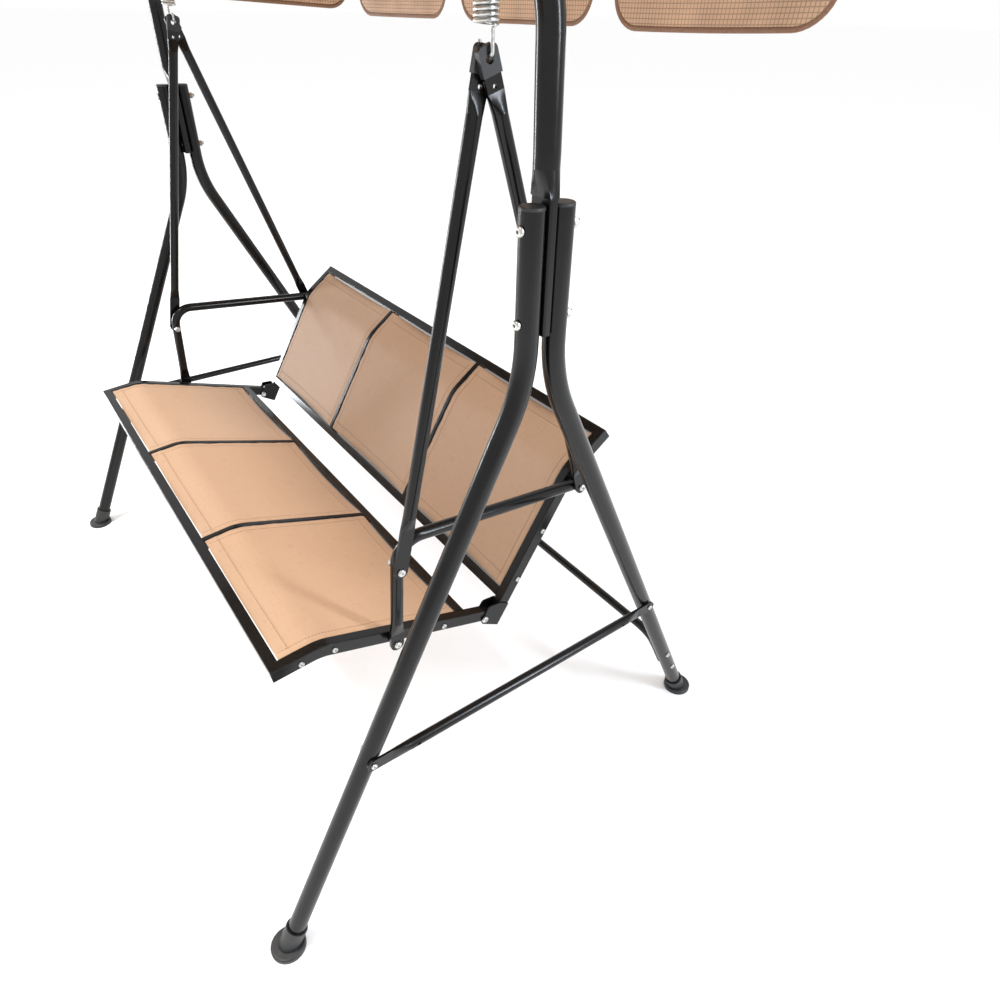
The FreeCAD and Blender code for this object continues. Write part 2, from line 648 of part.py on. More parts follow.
def make_arm_spacers():
    """Bushes that hold the arm's ends off the seat rail and the backrest rail."""
    spacers = []
    for spot, reach in ((ARM_FOOT, ARM_X - ARM_FLAT_T / 2), (ARM_REAR_BOLT, ARM_X - ARM_OD / 2)):
        start, end = yz(FRAME_HALF, spot), yz(reach - SEAT_GAP, spot)
        bush = rod(start, end, HINGE_BOLT_D * 2)
        spacers.append(drill(bush, start - X, end + X, HINGE_BOLT_D))
    return spacers


def make_arm_plug():
    """Black plastic plug in the open rear end of an arm."""
    _, knee, end = arm_points()
    along = (end - knee).normalize()
    cap = rod(end, end + along * 3, ARM_OD)
    stem = rod(end - along * 6, end, ARM_OD - 2 * ARM_WALL - 2 * SEAT_GAP)
    return cap.fuse(stem).removeSplitter()


def make_arm_bolts():
    """Bolts through the arms, and their nuts."""
    inside_rail = FRAME_HALF - RAIL_W
    hanger_out = HANGER_LOW_X + HANGER_FLAT_T / 2 + SEAT_GAP
    foot_out = ARM_X + ARM_FLAT_T / 2 + SEAT_GAP
    arm_in = ARM_X - ARM_OD / 2 - SEAT_GAP
    hinge_out = FRAME_HALF + HINGE_T
    hinge_in = FRAME_HALF - RAIL_W - HINGE_T
    rows = ((ARM_FOOT, foot_out, inside_rail), (ARM_FRONT_BOLT, hanger_out, arm_in),
            (ARM_REAR_BOLT, hanger_out, inside_rail), (PIVOT, hinge_out, hinge_in))
    bolts, nuts = [], []
    for spot, head_x, nut_x in rows:
        bolts.append(button_bolt(yz(head_x, spot), -X, HINGE_BOLT_D, head_x - nut_x + HINGE_BOLT_D * 1.2))
        nuts.append(hex_nut(yz(nut_x, spot), -X, HINGE_BOLT_D))
    return bolts, nuts


def build_hangers():
    save_pair("hanger_front", make_hanger(ARM_FRONT_BOLT, -1, HANGER_FRONT_FLAT_RUN))
    save_pair("hanger_rear", make_hanger(ARM_REAR_BOLT, 1, HANGER_FLAT_RUN))
    sleeves = [make_sleeve(ARM_FRONT_BOLT, -1), make_sleeve(ARM_REAR_BOLT, 1)]
    save("hanger_sleeves", *[s for sleeve in sleeves for s in both_sides(sleeve)])
    save_pair("arm", make_arm())
    save("arm_plugs", *both_sides(make_arm_plug()))
    save("arm_spacers", *[s for spacer in make_arm_spacers() for s in both_sides(spacer)])
    bolts, nuts = make_arm_bolts()
    save("arm_bolts", *[b for bolt in bolts for b in both_sides(bolt)])
    save("arm_nuts", *[n for nut in nuts for n in both_sides(nut)])


# ================================================================ seat and back
SEAT_MAIN_AT = -SEAT_TILT
BACK_UP_AT = 90 - BACK_ROLL
BACK_DOWN_AT = -90 - BACK_RECLINE


def seat_line(nose_run, main_run):
    """(y, z) points of the seat frame's centre line, from the nose back."""
    return [step(SEAT_KNEE, 180 - SEAT_NOSE_TILT, nose_run), SEAT_KNEE, step(SEAT_KNEE, SEAT_MAIN_AT, main_run)]


def back_line(roll_run, main_run):
    """(y, z) points of the back frame's centre line, from the top down."""
    return [step(BACK_KNEE, BACK_UP_AT, roll_run), BACK_KNEE, step(BACK_KNEE, BACK_DOWN_AT, main_run)]


def side_rail(line, end_at):
    """Bent rectangular tube, mitred in plan at the end where the cross rail meets it."""
    x = FRAME_HALF - RAIL_W / 2
    points = [yz(x, p) for p in line]
    rail = box_tube(points, RAIL_BEND_R, X, RAIL_W, RAIL_D, RAIL_WALL, RAIL_CORNER)
    outward = (points[0] - points[1]).normalize()
    corner = yz(FRAME_HALF, end_at)
    return rail.cut(beyond(corner, outward - X))


def cross_rail(line, end_at):
    """Rail across the seat's nose or the backrest's top, mitred at both ends."""
    outward = (yz(0, line[0]) - yz(0, line[1])).normalize()
    centre = yz(0, line[0]) - outward * (RAIL_W / 2)
    ends = [centre - X * FRAME_HALF, centre + X * FRAME_HALF]
    rail = box_tube(ends, 1.0, outward, RAIL_W, RAIL_D, RAIL_WALL, RAIL_CORNER)
    for sign in (-1, 1):
        corner = V(sign * FRAME_HALF, end_at[0], end_at[1])
        rail = rail.cut(beyond(corner, X * sign - outward))
    return rail


def low_rail(knee, angle, run):
    """Straight rail between the side rails, square to their straight part."""
    along = (yz(0, step(knee, angle, 1.0)) - yz(0, knee)).normalize()
    centre = yz(0, step(knee, angle, run))
    half = FRAME_HALF - RAIL_W
    return box_tube([centre - X * half, centre + X * half], 1.0, along, RAIL_W, RAIL_D, RAIL_WALL, RAIL_CORNER)


def divider(line):
    """Narrow bent rail that parts two slings."""
    points = [yz(DIVIDER_X, p) for p in line]
    return box_tube(points, RAIL_BEND_R, X, DIVIDER_W, RAIL_D, RAIL_WALL, RAIL_CORNER)


def sling(line, x0, x1):
    """A flat fabric panel, just below the frame's upper face."""
    centre = (x0 + x1) / 2
    points = [yz(centre, p) for p in line]
    return box_bar(points, RAIL_BEND_R, X, x1 - x0, SLING_T, 0.4)


def lifted(line, lift):
    """The centre line moved square to itself by lift, towards the sitter."""
    (ay, az), (by, bz), (cy, cz) = line
    first = math.atan2(bz - az, by - ay)
    second = math.atan2(cz - bz, cy - by)
    half = (second - first) / 2
    middle = (first + second) / 2
    scale = lift / math.cos(half)

    def shift(p, angle, amount):
        return (p[0] - math.sin(angle) * amount, p[1] + math.cos(angle) * amount)
    return [shift((ay, az), first, lift), shift((by, bz), middle, scale), shift((cy, cz), second, lift)]


def slings(line, lift):
    """Left, middle and right panels between the side rails and the dividers."""
    panel = lifted(line, lift)
    gap = SEAT_GAP
    inner = FRAME_HALF - RAIL_W - gap
    bar = DIVIDER_X + DIVIDER_W / 2 + gap
    middle = DIVIDER_X - DIVIDER_W / 2 - gap
    return sling(panel, bar, inner), sling(panel, -middle, middle), sling(panel, -inner, -bar)


def make_hinge_plates():
    """Cheek plates welded to the foot of a back rail, with the seat rail's end bolted between them."""
    back_axis = math.radians(90 - BACK_RECLINE)
    along = V(0, math.cos(back_axis), math.sin(back_axis))
    forward = V(0, -along.z, along.y)
    foot = yz(0, step(BACK_KNEE, BACK_DOWN_AT, BACK_RUN))
    reach = RAIL_D * 1.5
    points = [foot - forward * (RAIL_D / 2 - 1), foot + forward * reach, foot + forward * reach + along * 40,
              foot + along * 52 + forward * (RAIL_D / 2), foot - forward * (RAIL_D / 2 - 1) + along * 52]
    outline = Part.Face(Part.makePolygon(points + points[:1]))
    plate = outline.extrude(X * HINGE_T)
    thin = [e for e in plate.Edges if abs(e.tangentAt(e.FirstParameter).x) > 0.9]
    thin = [e for e in thin if (e.CenterOfMass - points[2]).Length < 3 or (e.CenterOfMass - points[1]).Length < 3]
    plate = plate.makeFillet(8.0, thin)
    plates = []
    for x in (FRAME_HALF, FRAME_HALF - RAIL_W - HINGE_T):
        cheek = plate.copy()
        cheek.translate(X * x)
        plates.append(drill(cheek, yz(x - 5, PIVOT), yz(x + 10, PIVOT), HINGE_BOLT_D))
    return plates


def make_rail_screws():
    """Small screws with button heads along the outside of the seat and back rails."""
    screws = []
    for spot in SEAT_SCREWS + BACK_SCREWS:
        screws.append(button_bolt(yz(FRAME_HALF, spot), -X, SMALL_BOLT_D, RAIL_WALL + 6))
    return screws


def screw_holes(rail, screws):
    for spot in screws:
        rail = drill(rail, yz(FRAME_HALF - RAIL_WALL - 7, spot), yz(FRAME_HALF + 5, spot), SMALL_BOLT_D)
    return rail


def build_seat():
    line = seat_line(SEAT_NOSE_RUN, SEAT_RUN)
    nose_half = RAIL_D / 2
    rail = side_rail(line, line[0])
    rail = screw_holes(rail, SEAT_SCREWS)
    for spot in (ARM_FOOT, PIVOT):
        rail = drill(rail, yz(FRAME_HALF - RAIL_W - 5, spot), yz(FRAME_HALF + 5, spot), HINGE_BOLT_D)
    save_pair("seat_rail", rail)
    save("seat_front_rail", cross_rail(line, line[0]))
    save("seat_rear_rail", low_rail(SEAT_KNEE, SEAT_MAIN_AT, SEAT_REAR_RAIL_RUN))
    inner = seat_line(SEAT_NOSE_RUN - RAIL_W, SEAT_REAR_RAIL_RUN - RAIL_W / 2)
    save("seat_dividers", *both_sides(divider(inner)))
    free = seat_line(SEAT_NOSE_RUN - RAIL_W - SLING_EDGE_GAP, SEAT_REAR_RAIL_RUN - RAIL_W / 2 - SLING_EDGE_GAP)
    lift = nose_half - SLING_SINK - SLING_T / 2
    for name, panel in zip(("left", "middle", "right"), slings(free, lift)):
        save(f"seat_sling_{name}", panel)


def build_back():
    line = back_line(BACK_ROLL_RUN, BACK_RUN)
    rail = side_rail(line, line[0])
    rail = screw_holes(rail, BACK_SCREWS)
    at = ARM_REAR_BOLT
    rail = drill(rail, yz(FRAME_HALF - RAIL_W - 5, at), yz(FRAME_HALF + 5, at), HINGE_BOLT_D)
    save_pair("back_rail", rail)
    save("back_top_rail", cross_rail(line, line[0]))
    save("back_low_rail", low_rail(BACK_KNEE, BACK_DOWN_AT, BACK_LOW_RAIL_RUN))
    inner = back_line(BACK_ROLL_RUN - RAIL_W, BACK_LOW_RAIL_RUN - RAIL_W / 2)
    save("back_dividers", *both_sides(divider(inner)))
    free = back_line(BACK_ROLL_RUN - RAIL_W - SLING_EDGE_GAP, BACK_LOW_RAIL_RUN - RAIL_W / 2 - SLING_EDGE_GAP)
    lift = -(RAIL_D / 2 - SLING_SINK - SLING_T / 2)
    for name, panel in zip(("left", "middle", "right"), slings(free, lift)):
        save(f"back_sling_{name}", panel)
    save("hinge_plates", *[p for plate in make_hinge_plates() for p in both_sides(plate)])
    save("rail_screws", *[s for screw in make_rail_screws() for s in both_sides(screw)])


# ================================================================ canopy
TILT = math.radians(CANOPY_TILT)
SHEET_HALF_X = CANOPY_END_X + CANOPY_BAR_OD / 2 + SEAT_GAP
SHEET_HALF_Y = CANOPY_BAR_Y + CANOPY_BAR_OD / 2 + SEAT_GAP


def tilted(shape):
    """shape turned about the canopy's pivot, so that its rear edge is down."""
    shape.rotate(V(0, 0, CANOPY_AXIS_Z), X, -CANOPY_TILT)
    return shape


def bar_z(y):
    """Height of the tilted end bars' axis at y."""
    return CANOPY_AXIS_Z - y * math.tan(TILT)


def make_end_bar():
    """Straight tube at the canopy's end, drilled for its pivot."""
    half = CANOPY_BAR_Y - CANOPY_BAR_OD / 2
    ends = [V(CANOPY_END_X, sign * half, CANOPY_AXIS_Z) for sign in (-1, 1)]
    bar = tube(ends, 1.0, CANOPY_BAR_OD, CANOPY_BAR_WALL)
    for sign in (-1, 1):
        at = V(CANOPY_END_X, sign * CANOPY_BAR_Y, CANOPY_AXIS_Z)
        bar = bar.cut(rod(at - X * 40, at + X * 40, CANOPY_BAR_OD))
    at = V(CANOPY_END_X, 0, CANOPY_AXIS_Z)
    return tilted(drill(bar, at - X * 20, at + X * 20, HINGE_BOLT_D, PIVOT_GAP))


def make_long_bar(sign):
    """Straight tube along the canopy's front or rear edge."""
    half = CANOPY_END_X + CANOPY_BAR_OD / 2
    ends = [V(side * half, sign * CANOPY_BAR_Y, CANOPY_AXIS_Z) for side in (-1, 1)]
    return tilted(tube(ends, 1.0, CANOPY_BAR_OD, CANOPY_BAR_WALL))


def make_canopy_top():
    """Cloth roof."""
    low = CANOPY_AXIS_Z + CANOPY_BAR_OD / 2 + SEAT_GAP
    sheet = Part.makeBox(2 * SHEET_HALF_X, 2 * SHEET_HALF_Y, CANOPY_SHEET_T,
                         V(-SHEET_HALF_X, -SHEET_HALF_Y, low))
    return tilted(sheet)


def flap(upper, depth, thickness):
    """A flap hanging plumb from its two upper corners, with round lower corners."""
    lower = [corner - Z * depth for corner in reversed(upper)]
    points = upper + lower
    solid = Part.Face(Part.makePolygon(points + points[:1])).extrude(thickness)
    axis = V(thickness).normalize()
    corners = [e for e in solid.Edges if abs(e.tangentAt(e.FirstParameter).dot(axis)) > 0.9
               and min((e.CenterOfMass - p - thickness * 0.5).Length for p in lower) < 1]
    return solid.makeFillet(FLAP_CORNER_R, corners)


def make_long_flaps(sign):
    """Three flaps along the front or rear edge."""
    y = sign * (CANOPY_BAR_Y * math.cos(TILT) + CANOPY_BAR_OD / 2 + SEAT_GAP)
    top = bar_z(sign * CANOPY_BAR_Y * math.cos(TILT)) + FLAP_SEAM
    pitch = LONG_FLAP_W + LONG_FLAP_GAP
    flaps = []
    for k in (-1, 0, 1):
        upper = [V(k * pitch + side * LONG_FLAP_W / 2, y, top) for side in (-1, 1)]
        flaps.append(flap(upper, LONG_FLAP_DEPTH, Y * (sign * FLAP_T)))
    return flaps


def make_end_flaps():
    """Two flaps at one end, either side of the pivot."""
    flaps = []
    for sign in (-1, 1):
        upper = [V(SHEET_HALF_X, sign * y, bar_z(sign * y) + FLAP_SEAM) for y in (END_FLAP_START, END_FLAP_END)]
        flaps.append(flap(upper, END_FLAP_DEPTH, X * FLAP_T))
    return flaps


def make_knob():
    """Plastic hand knob on the pivot bolt."""
    start = V(CANOPY_END_X + CANOPY_BAR_OD / 2 + SEAT_GAP, 0, CANOPY_AXIS_Z)
    knob = Part.makeCylinder(KNOB_D / 2, KNOB_T, start, X)
    rim = [e for e in knob.Edges if e.Curve.TypeId == "Part::GeomCircle"
           and abs(e.Curve.Center.x - start.x - KNOB_T) < 0.01]
    knob = knob.makeFillet(3.0, rim)
    for k in range(8):
        turn = math.radians(45 * k)
        at = start + Y * (math.cos(turn) * KNOB_D / 2 * 1.08) + Z * (math.sin(turn) * KNOB_D / 2 * 1.08)
        knob = knob.cut(rod(at + X * 4, at + X * (KNOB_T + 1), 6.0))
    return knob.cut(rod(start - X, start + X * (KNOB_T * 0.6), HINGE_BOLT_D + 0.1))


def make_knob_bolt():
    """Bolt of the canopy's pivot, its head inside the bracket."""
    head = CANOPY_END_X - CANOPY_BAR_OD / 2 - SEAT_GAP - BRACKET_T - SEAT_GAP
    length = CANOPY_END_X + CANOPY_BAR_OD / 2 + KNOB_T * 0.5 - head
    return button_bolt(V(head, 0, CANOPY_AXIS_Z), X, HINGE_BOLT_D, length)


def build_canopy():
    save("canopy_end_bars", *both_sides(make_end_bar()))
    save("canopy_long_bars", *[make_long_bar(sign) for sign in (-1, 1)])
    save("canopy_top", make_canopy_top())
    save("valance_front", *make_long_flaps(-1))
    save("valance_rear", *make_long_flaps(1))
    save("valance_ends", *[f for end_flap in make_end_flaps() for f in both_sides(end_flap)])
    save("canopy_knobs", *both_sides(make_knob()))
    save("canopy_pivot_bolts", *both_sides(make_knob_bolt()))


build_stand()
build_springs()
build_hangers()
build_seat()
build_back()
build_canopy()
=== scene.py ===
"""Looks of a three-seat canopy patio swing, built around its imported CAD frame."""

import json
import math

import bmesh
import bpy
from mathutils import Matrix, Vector, noise


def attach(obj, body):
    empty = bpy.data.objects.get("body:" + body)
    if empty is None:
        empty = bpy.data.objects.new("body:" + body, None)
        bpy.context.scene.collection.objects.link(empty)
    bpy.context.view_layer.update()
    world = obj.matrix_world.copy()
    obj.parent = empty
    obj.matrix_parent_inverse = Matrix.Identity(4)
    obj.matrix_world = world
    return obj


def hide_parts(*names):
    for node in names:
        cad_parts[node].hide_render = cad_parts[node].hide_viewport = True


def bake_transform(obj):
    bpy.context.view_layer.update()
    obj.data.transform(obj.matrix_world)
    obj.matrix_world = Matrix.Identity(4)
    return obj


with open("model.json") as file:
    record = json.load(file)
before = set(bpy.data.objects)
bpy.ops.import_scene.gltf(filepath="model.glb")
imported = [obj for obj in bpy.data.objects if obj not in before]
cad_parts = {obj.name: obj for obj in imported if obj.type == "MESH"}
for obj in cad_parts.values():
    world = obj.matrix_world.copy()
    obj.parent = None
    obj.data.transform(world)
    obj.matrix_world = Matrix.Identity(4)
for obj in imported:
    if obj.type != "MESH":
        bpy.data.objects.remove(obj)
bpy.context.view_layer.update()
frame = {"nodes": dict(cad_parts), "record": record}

bl_info = {
    "name": "Canopy patio swing",
    "version": (1, 0, 0),
    "blender": (4, 5, 0),
    "location": "View3D > Sidebar > Swing",
    "description": "Cloth, springs, finishes and stage of a three-seat canopy patio swing",
    "category": "Object",
}

MM = 0.001

# ------------------------------------------------------------------ the frame's own sizes, in mm
RAIL_INNER_X = 587.0        # inner face of a side rail
DIVIDER_X = 200.0           # middle of the bar between two slings
DIVIDER_HALF = 6.0
SEAT_KNEE = (-306.9, 496.2)
SEAT_NOSE_SLOPE = math.radians(5.1)
SEAT_MAIN_SLOPE = math.radians(-17.9)
SEAT_NOSE_RUN = 88.5
SEAT_MAIN_RUN = 298.5
BACK_KNEE = (230.4, 653.1)
BACK_MAIN_SLOPE = math.radians(58.6)
BACK_ROLL_SLOPE = math.radians(36.0)
BACK_MAIN_RUN = 282.7
BACK_ROLL_RUN = 105.5
RAIL_WIDTH = 20.0
RAIL_DEPTH = 25.0
KNEE_RADIUS = 90.0

SPRING_X = 637.0
COIL_LOW, COIL_HIGH = 1368.0, 1423.0
COIL_RADIUS = 13.0
WIRE_RADIUS = 2.5
COIL_TURNS = 10
STEPS_PER_TURN = 28

BAR_Y = 528.0
BAR_X = 718.0
BAR_RADIUS = 9.5
CANOPY_AXIS_Z = 1506.0
CANOPY_TILT = math.radians(2.9)
FLAP_SEAM = 3.5             # height of a flap's upper edge over its bar's axis
LONG_FLAP = (446.0, 131.0, 506.0)       # width, depth, and pitch from flap to flap
LEFT_CURL = 17.0            # radius that the left end's flaps roll inwards to
FLAP_CORNER = 60.0          # radius of a flap's lower corners
LIFTED, SETTLED = 12.0, 3.0     # how far a lower corner rises on the left flaps and on the others
LONG_SWELL, END_SWELL = 6.0, 2.5    # how far the cloth of a long flap and an end flap waves in and out
END_FLAP = (468.0, 120.0, 38.0)         # width, depth, and distance of its near edge from the pivot

# ------------------------------------------------------------------ colour


def linear(code):
    """An sRGB hex colour as linear red, green and blue."""
    channels = [int(code[k:k + 2], 16) / 255 for k in (1, 3, 5)]
    return tuple(c / 12.92 if c <= 0.04045 else ((c + 0.055) / 1.055) ** 2.4 for c in channels)


# ------------------------------------------------------------------ what a user would change


class SwingSteel(bpy.types.PropertyGroup):
    coat: bpy.props.FloatVectorProperty(name="Powder coat", description="Colour of the coated steel",
                                        subtype="COLOR", size=3, min=0, max=1, default=linear("#0b0a0a"))
    zinc: bpy.props.FloatVectorProperty(name="Zinc plate", description="Colour of bolts, nuts and springs",
                                        subtype="COLOR", size=3, min=0, max=1, default=linear("#c9c9c6"))
    plastic: bpy.props.FloatVectorProperty(name="Plastic", description="Colour of feet, plugs and sleeves",
                                           subtype="COLOR", size=3, min=0, max=1, default=linear("#1b1c1d"))


class SwingSlings(bpy.types.PropertyGroup):
    yarn: bpy.props.FloatVectorProperty(name="Yarn", description="Main colour of the sling mesh",
                                        subtype="COLOR", size=3, min=0, max=1, default=linear("#b38f6f"))
    # this dark colour is the darkest yarn tone and the hem thread's own colour, and also painted shade
    # between the yarns
    dark_yarn_and_gap_shade: bpy.props.FloatVectorProperty(name="Dark yarn", description="Colour between the yarns",
                                             subtype="COLOR", size=3, min=0, max=1,
                                             default=linear("#785b44"))
    sag: bpy.props.FloatProperty(name="Sag", description="How far a sling's middle sits below its edges",
                                 subtype="DISTANCE", unit="LENGTH", min=0, max=0.02, default=0.006)
    hem: bpy.props.FloatProperty(name="Hem", description="Width of the hem along a free edge",
                                 subtype="DISTANCE", unit="LENGTH", min=0.01, max=0.05, default=0.025)
    stitch: bpy.props.FloatProperty(name="Stitch", description="Length of one stitch",
                                    subtype="DISTANCE", unit="LENGTH", min=0.002, max=0.01, default=0.0045)


class SwingCanopy(bpy.types.PropertyGroup):
    cloth: bpy.props.FloatVectorProperty(name="Cloth", description="Colour of roof and flaps",
                                         subtype="COLOR", size=3, min=0, max=1, default=linear("#b2947a"))
    binding: bpy.props.FloatVectorProperty(name="Binding", description="Colour of the tape round each flap",
                                           subtype="COLOR", size=3, min=0, max=1,
                                           default=linear("#86664f"))
    sag: bpy.props.FloatProperty(name="Sag", description="How far the roof hangs between its end bars",
                                 subtype="DISTANCE", unit="LENGTH", min=0, max=0.03, default=0.009)
    tape: bpy.props.FloatProperty(name="Tape", description="Width of the binding tape",
                                  subtype="DISTANCE", unit="LENGTH", min=0.005, max=0.03, default=0.0078)


class SwingStage(bpy.types.PropertyGroup):
    floor: bpy.props.FloatVectorProperty(name="Floor", description="Colour of the floor",
                                         subtype="COLOR", size=3, min=0, max=1, default=linear("#fdfdfd"))
    lens: bpy.props.FloatProperty(name="Lens", description="Focal length on a 36 mm sensor",
                                  min=10, max=100, default=25.218)


# ------------------------------------------------------------------ materials


def add(tree, kind, inputs=None, **settings):
    """Adds a node. An input given as a socket is linked, and any other value is set."""
    node = tree.nodes.new(kind)
    for key, value in settings.items():
        setattr(node, key, value)
    for key, value in (inputs or {}).items():
        if isinstance(value, bpy.types.NodeSocket):
            tree.links.new(value, node.inputs[key])
        else:
            node.inputs[key].default_value = value
    return node


def new_material(name):
    """An empty material with its shader, as (material, tree, shader)."""
    material = bpy.data.materials.new(name)
    material.use_nodes = True
    tree = material.node_tree
    tree.nodes.clear()
    shader = add(tree, "ShaderNodeBsdfPrincipled")
    add(tree, "ShaderNodeOutputMaterial", {"Surface": shader.outputs[0]})
    return material, tree, shader


def rgba(colour, scale=1.0):
    """A colour with its alpha, made darker or lighter by scale."""
    return (*[min(1.0, c * scale) for c in colour], 1.0)


def spread(tree, fac, low, high, low_at=0.0, high_at=1.0):
    """A ramp from one colour to another."""
    ramp = add(tree, "ShaderNodeValToRGB", {"Fac": fac})
    ramp.color_ramp.elements[0].position = low_at
    ramp.color_ramp.elements[0].color = low
    ramp.color_ramp.elements[1].position = high_at
    ramp.color_ramp.elements[1].color = high
    return ramp.outputs["Color"]


def level(tree, fac, low, high):
    """A number from low to high."""
    return add(tree, "ShaderNodeMapRange", {"Value": fac, "To Min": low, "To Max": high}).outputs["Result"]


def powder_coat(colour):
    """Satin black polyester powder coat on steel tube: a fine orange peel, and faint dusty scuffs."""
    material, tree, shader = new_material("satin_black_powder_coat")
    where = add(tree, "ShaderNodeTexCoord").outputs["Object"]
    peel = add(tree, "ShaderNodeTexNoise", {"Vector": where, "Scale": 1 / (2.2 * MM), "Detail": 2.0})
    dust = add(tree, "ShaderNodeTexNoise", {"Vector": where, "Scale": 1 / (70 * MM), "Detail": 5.0,
                                            "Roughness": 0.6})
    scuff = add(tree, "ShaderNodeTexNoise", {"Vector": where, "Scale": 1 / (9 * MM), "Detail": 3.0})
    base = spread(tree, dust.outputs["Fac"], rgba(colour, 0.8), rgba(colour, 1.5), 0.35, 0.75)
    tree.links.new(base, shader.inputs["Base Color"])
    rough = add(tree, "ShaderNodeMath", {0: level(tree, dust.outputs["Fac"], 0.14, 0.27),
                                         1: level(tree, scuff.outputs["Fac"], -0.03, 0.05)}, operation="ADD")
    tree.links.new(rough.outputs[0], shader.inputs["Roughness"])
    bump = add(tree, "ShaderNodeBump", {"Height": peel.outputs["Fac"], "Strength": 0.08,
                                        "Distance": 0.1 * MM})
    tree.links.new(bump.outputs[0], shader.inputs["Normal"])
    shader.inputs["Coat Weight"].default_value = 0.04
    shader.inputs["Coat Roughness"].default_value = 0.12
    shader.inputs["Specular IOR Level"].default_value = 0.26
    return material


def zinc_plate(colour):
    """Bright zinc-plated steel: a slightly cloudy metal with a fine grain."""
    material, tree, shader = new_material("bright_zinc_plate")
    where = add(tree, "ShaderNodeTexCoord").outputs["Object"]
    cloud = add(tree, "ShaderNodeTexNoise", {"Vector": where, "Scale": 1 / (6 * MM), "Detail": 4.0})
    grain = add(tree, "ShaderNodeTexNoise", {"Vector": where, "Scale": 1 / (0.8 * MM), "Detail": 2.0})
    base = spread(tree, cloud.outputs["Fac"], rgba(colour, 0.72), rgba(colour, 1.08), 0.3, 0.7)
    tree.links.new(base, shader.inputs["Base Color"])
    tree.links.new(level(tree, cloud.outputs["Fac"], 0.2, 0.42), shader.inputs["Roughness"])
    bump = add(tree, "ShaderNodeBump", {"Height": grain.outputs["Fac"], "Strength": 0.1,
                                        "Distance": 0.05 * MM})
    tree.links.new(bump.outputs[0], shader.inputs["Normal"])
    shader.inputs["Metallic"].default_value = 1.0
    return material


def moulded_plastic(colour):
    """Black moulded polyethylene: soft sheen over a fine spark-eroded grain, dusty in places."""
    material, tree, shader = new_material("black_moulded_polyethylene")
    where = add(tree, "ShaderNodeTexCoord").outputs["Object"]
    grain = add(tree, "ShaderNodeTexNoise", {"Vector": where, "Scale": 1 / (0.9 * MM), "Detail": 3.0})
    dust = add(tree, "ShaderNodeTexNoise", {"Vector": where, "Scale": 1 / (16 * MM), "Detail": 5.0})
    base = spread(tree, dust.outputs["Fac"], rgba(colour, 0.85), rgba(colour, 1.9), 0.4, 0.8)
    tree.links.new(base, shader.inputs["Base Color"])
    tree.links.new(level(tree, dust.outputs["Fac"], 0.38, 0.56), shader.inputs["Roughness"])
    bump = add(tree, "ShaderNodeBump", {"Height": grain.outputs["Fac"], "Strength": 0.25,
                                        "Distance": 0.12 * MM})
    tree.links.new(bump.outputs[0], shader.inputs["Normal"])
    return material


def yarn_wave(tree, along, pitch, phase=0.0):
    """A rounded ridge for each yarn: 0 between yarns and 1 on a yarn's crown."""
    turns = add(tree, "ShaderNodeMath", {0: along, 1: math.pi / (pitch * MM)}, operation="MULTIPLY")
    turns = add(tree, "ShaderNodeMath", {0: turns.outputs[0], 1: phase}, operation="ADD")
    wave = add(tree, "ShaderNodeMath", {0: turns.outputs[0]}, operation="SINE")
    return add(tree, "ShaderNodeMath", {0: wave.outputs[0]}, operation="ABSOLUTE").outputs[0]


def sling_mesh(colour, dark):
    """PVC-coated polyester sling mesh. Yarns 1.1 mm apart are drawn 2.2 mm apart so that the weave shows,
    with painted shade in the hollows between the yarns.
    """
    material, tree, shader = new_material("woven_sling_mesh")
    uv = add(tree, "ShaderNodeUVMap", uv_map="weave").outputs[0]
    split = add(tree, "ShaderNodeSeparateXYZ", {0: uv})
    weft = yarn_wave(tree, split.outputs["Y"], 2.2)
    warp = yarn_wave(tree, split.outputs["X"], 2.2)
    # single yarns differ in tone, which reads as short slubs along both directions
    slubs = []
    for scale in ((60, 900, 1), (900, 60, 1)):
        place = add(tree, "ShaderNodeMapping", {"Vector": uv, "Scale": scale})
        slubs.append(add(tree, "ShaderNodeTexNoise", {"Vector": place.outputs[0], "Scale": 0.5,
                                                      "Detail": 2.0}).outputs["Fac"])
    both = add(tree, "ShaderNodeMath", {0: slubs[0], 1: slubs[1]}, operation="ADD").outputs[0]
    weave = add(tree, "ShaderNodeMath", {0: weft, 1: warp}, operation="MULTIPLY").outputs[0]
    # the colour is darker between the yarns and lighter on their crowns, following the bump: painted shade
    # and light of the weave; the slubs and wide patches are real random tone
    tone = add(tree, "ShaderNodeMath", {0: level(tree, weave, 0.0, 0.55),
                                        1: level(tree, both, -0.35, 0.85)}, operation="ADD").outputs[0]
    wide = add(tree, "ShaderNodeTexNoise", {"Vector": uv, "Scale": 9.0, "Detail": 2.0}).outputs["Fac"]
    tone = add(tree, "ShaderNodeMath", {0: tone, 1: level(tree, wide, -0.12, 0.12)},
               operation="ADD").outputs[0]
    base = spread(tree, tone, rgba(dark), rgba(colour, 1.05), 0.1, 0.85)
    tree.links.new(base, shader.inputs["Base Color"])
    tree.links.new(level(tree, weave, 0.72, 0.5), shader.inputs["Roughness"])
    bump = add(tree, "ShaderNodeBump", {"Height": tone, "Strength": 0.4, "Distance": 0.4 * MM})
    tree.links.new(bump.outputs[0], shader.inputs["Normal"])
    shader.inputs["Sheen Weight"].default_value = 0.3
    shader.inputs["Sheen Roughness"].default_value = 0.35
    shader.inputs["Specular IOR Level"].default_value = 0.8
    return material


